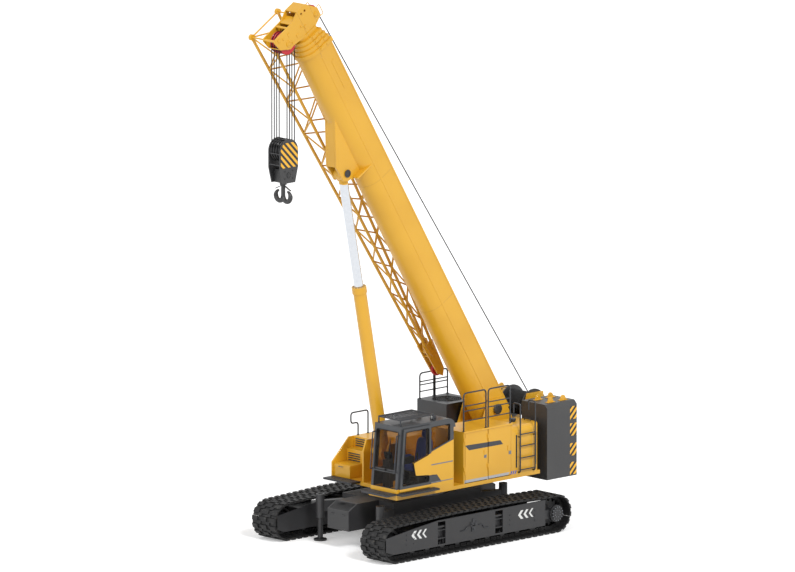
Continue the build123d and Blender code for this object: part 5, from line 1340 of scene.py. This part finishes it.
# Deep side plates of the track frames
def skirts():
    """Outer plate in three lengths with strips over and under its two pockets, and a plain inner plate."""
    ahead, behind, half = 1.130, -0.780, 0.125
    nose = [(2.98, 0.30), (2.98, 0.64), (2.06, 0.76), (1.27, 0.85)]
    front = slab(nose + [(ahead + half, 0.85), (ahead + half, 0.215), (2.72, 0.215)], -2.213, -2.185)
    middle = slab([(behind + half, 0.215), (ahead - half, 0.215), (ahead - half, 0.85), (behind + half, 0.85)],
                  -2.213, -2.185)
    rear = slab([(-2.33, 0.215), (behind - half, 0.215), (behind - half, 0.85), (-2.33, 0.85)], -2.213, -2.185)
    strips = blocks([(x, 2.199, z) for x in (ahead, behind) for z in (0.2375, 0.8275)], [(half, 0.014, 0.0225)])
    inner = slab(nose + [(-2.33, 0.85), (-2.33, 0.215), (2.72, 0.215)], -1.585, -1.560)
    rungs = pipes([line((x - half, 2.196, z), (x + half, 2.196, z)) for x in (ahead, behind) for z in (0.40, 0.60)],
                  0.014, 10, (0, 0, 1))
    return mirrored(joined(front, middle, rear, strips, inner, rungs))


piece("track frame plates", skirts(), "frames", "undercarriage", bevel=0.004)


# Boom head's hooked nose and the luffing bracket
def boom_slab(outline, y0, y1):
    """A plate from an outline of (s, n) pairs, between two distances to the left."""
    return slab(outline, -y1, -y0, FOOT, ALONG, UPWARD)


def head_nose():
    """Cheek plates drawn down past the sheaves to a nose, with bars and a face plate across."""
    outline = [(11.64, -0.646), (11.83, -0.93), (12.10, -1.00), (12.155, -0.93), (12.165, -0.05), (11.72, -0.05)]
    cheeks = [boom_slab(outline, 0.1755, 0.2075), boom_slab(outline, -0.2075, -0.1755)]
    across = boom_blocks([((12.135, -0.20, 0), (0.015, 0.176, 0.14)), ((12.135, -0.47, 0), (0.015, 0.176, 0.03)),
                          ((12.110, -0.95, 0), (0.015, 0.176, 0.03))])
    return joined(*cheeks, across)


piece("boom head nose", head_nose(), "yellow", "tip_section", bevel=0.005)


def luffing_bracket():
    """Lugs that run forward up the boom's belly, closed by a sloping front plate, with a wing plate each side."""
    pin_s, pin_n = 7.890, -0.740
    outline = [(pin_s + 1.36, -0.38), (pin_s + 0.34, pin_n - 0.216), (pin_s - 0.10, pin_n - 0.19),
               (pin_s - 0.21, pin_n + 0.10), (pin_s - 0.19, -0.26), (pin_s + 1.36, -0.26)]
    lugs = [boom_slab(outline, 0.1215, 0.1790), boom_slab(outline, -0.1790, -0.1215)]
    front = boom_slab([(pin_s + 1.36, -0.38), (pin_s + 0.34, pin_n - 0.216), (pin_s + 0.36, pin_n - 0.150),
                       (pin_s + 1.36, -0.31)], -0.121, 0.121)
    rear, ahead, low, high = pin_s - 0.230, pin_s - 0.185, pin_n + 0.10, -0.10
    wing = [(rear, low), (ahead, low), (ahead, high), (rear, high)]
    wings = [boom_slab(wing, 0.180, 0.350), boom_slab(wing, -0.350, -0.180)]
    return joined(*lugs, front, *wings)


piece("luffing bracket", luffing_bracket(), "boom", "base_section", bevel=0.005)


# Hook block and hook
BLOCK_LOW, HOOK_LOW = float(LOW["hook_block"][2]), float(LOW["hook"][2])


def block_cheeks():
    """Cheek plates round over the sheaves and narrow below, tie rods, and the cross head for the hook."""
    half, waist = 0.295, BLOCK_LOW + 0.375
    turn = np.linspace(0, pi, 25)
    crown = [(BLOCK[0] + half * cos(a), BLOCK[2] + half * sin(a)) for a in turn]
    outline = crown + [(BLOCK[0] - half, waist), (BLOCK[0] - 0.20, BLOCK_LOW), (BLOCK[0] + 0.20, BLOCK_LOW),
                       (BLOCK[0] + half, waist)]
    cheeks = [slab(outline, 0.176, 0.210), slab(outline, -0.210, -0.176)]
    cross = blocks([(BLOCK[0], 0, BLOCK_LOW + 0.16)], [(0.13, 0.176, 0.16)])
    ties = [line((BLOCK[0] + x, -0.176, z), (BLOCK[0] + x, 0.176, z)) for x in (-0.278, 0.278)
            for z in (BLOCK[2] - 0.05, BLOCK[2] - 0.32)]
    axle = lathes([(0.05, -0.176), (0.05, 0.176)], [BLOCK], ACROSS, 20)
    return joined(*cheeks, cross, pipes(ties, 0.014, 10, (0, 0, 1)), axle)


made_block = piece("block cheeks", block_cheeks(), "grey", "lower_block", bevel=0.004)
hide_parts("hook_block")


def double_hook():
    """Shank, and two horns: half rings that thin out upwards to their points."""
    ring, thick = 0.125, 0.058
    middle = HOOK_LOW + thick + ring
    turn = np.linspace(-pi, 0.42 * pi, 33)
    radius = np.where(turn < 0, thick, thick * (1 - 0.55 * turn / (0.42 * pi)))
    horns = [np.stack([np.full(33, BLOCK[0]), side * (ring + ring * np.cos(turn)), middle + ring * np.sin(turn)], -1)
             for side in (-1, 1)]
    shank_radius, shank_length = 0.052, BLOCK_LOW - middle + ring + 0.09
    shank = lathes([(shank_radius, 0.0), (shank_radius, shank_length)], [(BLOCK[0], 0, middle - ring)], (0, 0, 1), 24)
    return joined(*[pipes([path], radius, 18, (1, 0, 0)) for path in horns], shank)


made_hook = piece("double hook", double_hook(), "grey", "crane_hook")
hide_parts("hook")


# Lattice jib, stowed along the boom's right side
JIB_FOOT, JIB_TIP, JIB_END = 11.730, 2.500, 1.700
JIB_BAYS = 20


def jib_corner(share, high, far):
    """A chord's place, from the foot at 0 to the tapered tip at 1 and on past it."""
    s = JIB_FOOT + (JIB_TIP - JIB_FOOT) * share
    near, width = -0.520 - 0.130 * share, 0.640 - 0.390 * share
    n = 0.420 - 0.520 * share if high else -0.580 + 0.230 * share
    return FOOT + ALONG * s + UPWARD * n + ACROSS * (near - width if far else near)


def lattice_jib():
    """Four tapering chords, zigzag lacing in twenty bays on all four sides, foot eyes and a forked point."""
    corners = [(False, False), (False, True), (True, True), (True, False)]
    last = (JIB_FOOT - JIB_END) / (JIB_FOOT - JIB_TIP)
    chords = [np.stack([jib_corner(0, *c), jib_corner(last, *c)]) for c in corners]
    laces = []
    for side in range(4):
        a, b = corners[side], corners[(side + 1) % 4]
        for bay in range(JIB_BAYS):
            start, end = (a, b) if (bay + side) % 2 else (b, a)
            laces.append(np.stack([jib_corner(last * bay / JIB_BAYS, *start),
                                   jib_corner(last * (bay + 1) / JIB_BAYS, *end)]))
        laces += [np.stack([jib_corner(share, *a), jib_corner(share, *b)]) for share in (0, last)]
    eyes = lathes([(0.076, -0.038), (0.076, 0.038)], [jib_corner(0, *c) for c in corners], ACROSS, 20)
    near, far = (float(jib_corner(last, False, side)[1]) for side in (False, True))
    point = [(2.05, -0.40), (1.20, -0.36), (1.05, -0.25), (1.20, -0.12), (2.05, -0.06)]
    forks = [boom_slab(point, near - 0.030, near + 0.010), boom_slab(point, far - 0.010, far + 0.030)]
    across = boom_blocks([((1.85, -0.23, (near + far) / 2), (0.03, (near - far) / 2, 0.13))])
    return joined(pipes(chords, 0.038, 14, ACROSS), pipes(laces, 0.020, 10, (0.31, 0.23, 0.92)), eyes, *forks, across)


def point_sheave():
    """Sheave on its axle between the point's forks."""
    near, far = (float(jib_corner(1.087, False, side)[1]) for side in (False, True))
    centre = FOOT + ALONG * 1.25 + UPWARD * -0.24 + ACROSS * (near + far) / 2
    half = (near - far) / 2
    return lathes([(0.03, -half), (0.03, -0.035), (0.17, -0.030), (0.17, -0.018), (0.145, 0.0), (0.17, 0.018),
                   (0.17, 0.030), (0.03, 0.035), (0.03, half)], [centre], ACROSS, 32)


made_jib = piece("lattice jib", lattice_jib(), "yellow", "base_section")
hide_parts("jib")
piece("jib point sheave", point_sheave(), "red", "base_section")


# Floor, light and camera
def studio():
    """Pale floor, even sky light that the camera sees as white, and two soft lamps."""
    scene = bpy.context.scene
    scene.view_settings.view_transform = "Standard"
    world = bpy.data.worlds.new("studio")
    scene.world = world
    world.use_nodes = True
    world.node_tree.nodes.clear()
    flow = Flow(world.node_tree)
    path = flow.make("ShaderNodeLightPath").socket.node
    seen = Flow(flow.tree, path.outputs["Is Camera Ray"])
    for kind in ("Is Glossy Ray", "Is Transmission Ray"):
        seen = seen.most(Flow(flow.tree, path.outputs[kind]))
    strength = 0.62 + seen * 0.38
    backdrop = flow.make("ShaderNodeBackground", inputs={"Color": (1, 1, 1, 1), "Strength": strength})
    flow.make("ShaderNodeOutputWorld", inputs={0: backdrop})

    floor_mesh = bpy.data.meshes.new("floor")
    reach = 700.0
    floor_mesh.from_pydata([(-reach, -reach, 0), (reach, -reach, 0), (reach, reach, 0), (-reach, reach, 0)],
                           [], [(0, 1, 2, 3)])
    floor = bpy.data.objects.new("floor", floor_mesh)
    scene.collection.objects.link(floor)
    material = bpy.data.materials.new("pale floor")
    material.use_nodes = True
    tree = material.node_tree
    tree.nodes.clear()
    flow = Flow(tree)
    path = flow.make("ShaderNodeLightPath").socket.node
    seen = Flow(flow.tree, path.outputs["Is Camera Ray"])
    for kind in ("Is Glossy Ray", "Is Transmission Ray"):
        seen = seen.most(Flow(flow.tree, path.outputs[kind]))
    matte = flow.make("ShaderNodeBsdfDiffuse", inputs={"Color": (0.86, 0.86, 0.86, 1)})
    glow = flow.make("ShaderNodeEmission", inputs={"Color": (1, 1, 1, 1), "Strength": 0.30})
    lit = flow.make("ShaderNodeAddShader", inputs={0: matte, 1: glow})
    both = flow.make("ShaderNodeMixShader", inputs={0: seen, 1: matte, 2: lit})
    flow.make("ShaderNodeOutputMaterial", inputs={0: both})
    floor_mesh.materials.append(material)

    for name, direction, energy, spread in (("key", (0.25, 0.95, 0.85), 1.9, 14), ("fill", (0.9, -0.1, 0.6), 0.8, 40)):
        lamp = bpy.data.lights.new(name, "SUN")
        lamp.energy = energy
        lamp.angle = radians(spread)
        holder = bpy.data.objects.new(name, lamp)
        holder.rotation_euler = Vector(direction).to_track_quat("Z", "Y").to_euler()
        scene.collection.objects.link(holder)


PHOTO_WIDTH, PHOTO_HEIGHT = 795, 572
PIXELS_PER_METRE = 41.55     # at the slew centre
ORIGIN_PIXEL = (411.8, 534.5)
CAMERA_TURN = 136.2          # degrees round from the right side
CAMERA_RISE = 10.9
CAMERA_FAR = 450.0


def camera():
    """Long lens far off, aimed so that the slew centre's foot falls on its pixel of the photograph."""
    turn, rise = radians(CAMERA_TURN), radians(CAMERA_RISE)
    back = Vector((sin(turn) * cos(rise), -cos(turn) * cos(rise), sin(rise)))
    right = Vector((cos(turn), sin(turn), 0.0))
    up = back.cross(right)
    aim = right * ((PHOTO_WIDTH / 2 - ORIGIN_PIXEL[0]) / PIXELS_PER_METRE)
    aim += up * ((ORIGIN_PIXEL[1] - PHOTO_HEIGHT / 2) / PIXELS_PER_METRE)
    data = bpy.data.cameras.new("camera")
    data.sensor_width = 36.0
    data.lens = PIXELS_PER_METRE * data.sensor_width * CAMERA_FAR / PHOTO_WIDTH
    data.clip_end = 3000.0
    holder = bpy.data.objects.new("camera", data)
    holder.location = aim + back * CAMERA_FAR
    holder.rotation_euler = back.to_track_quat("Z", "Y").to_euler()
    bpy.context.scene.collection.objects.link(holder)
    bpy.context.scene.camera = holder


studio()
camera()
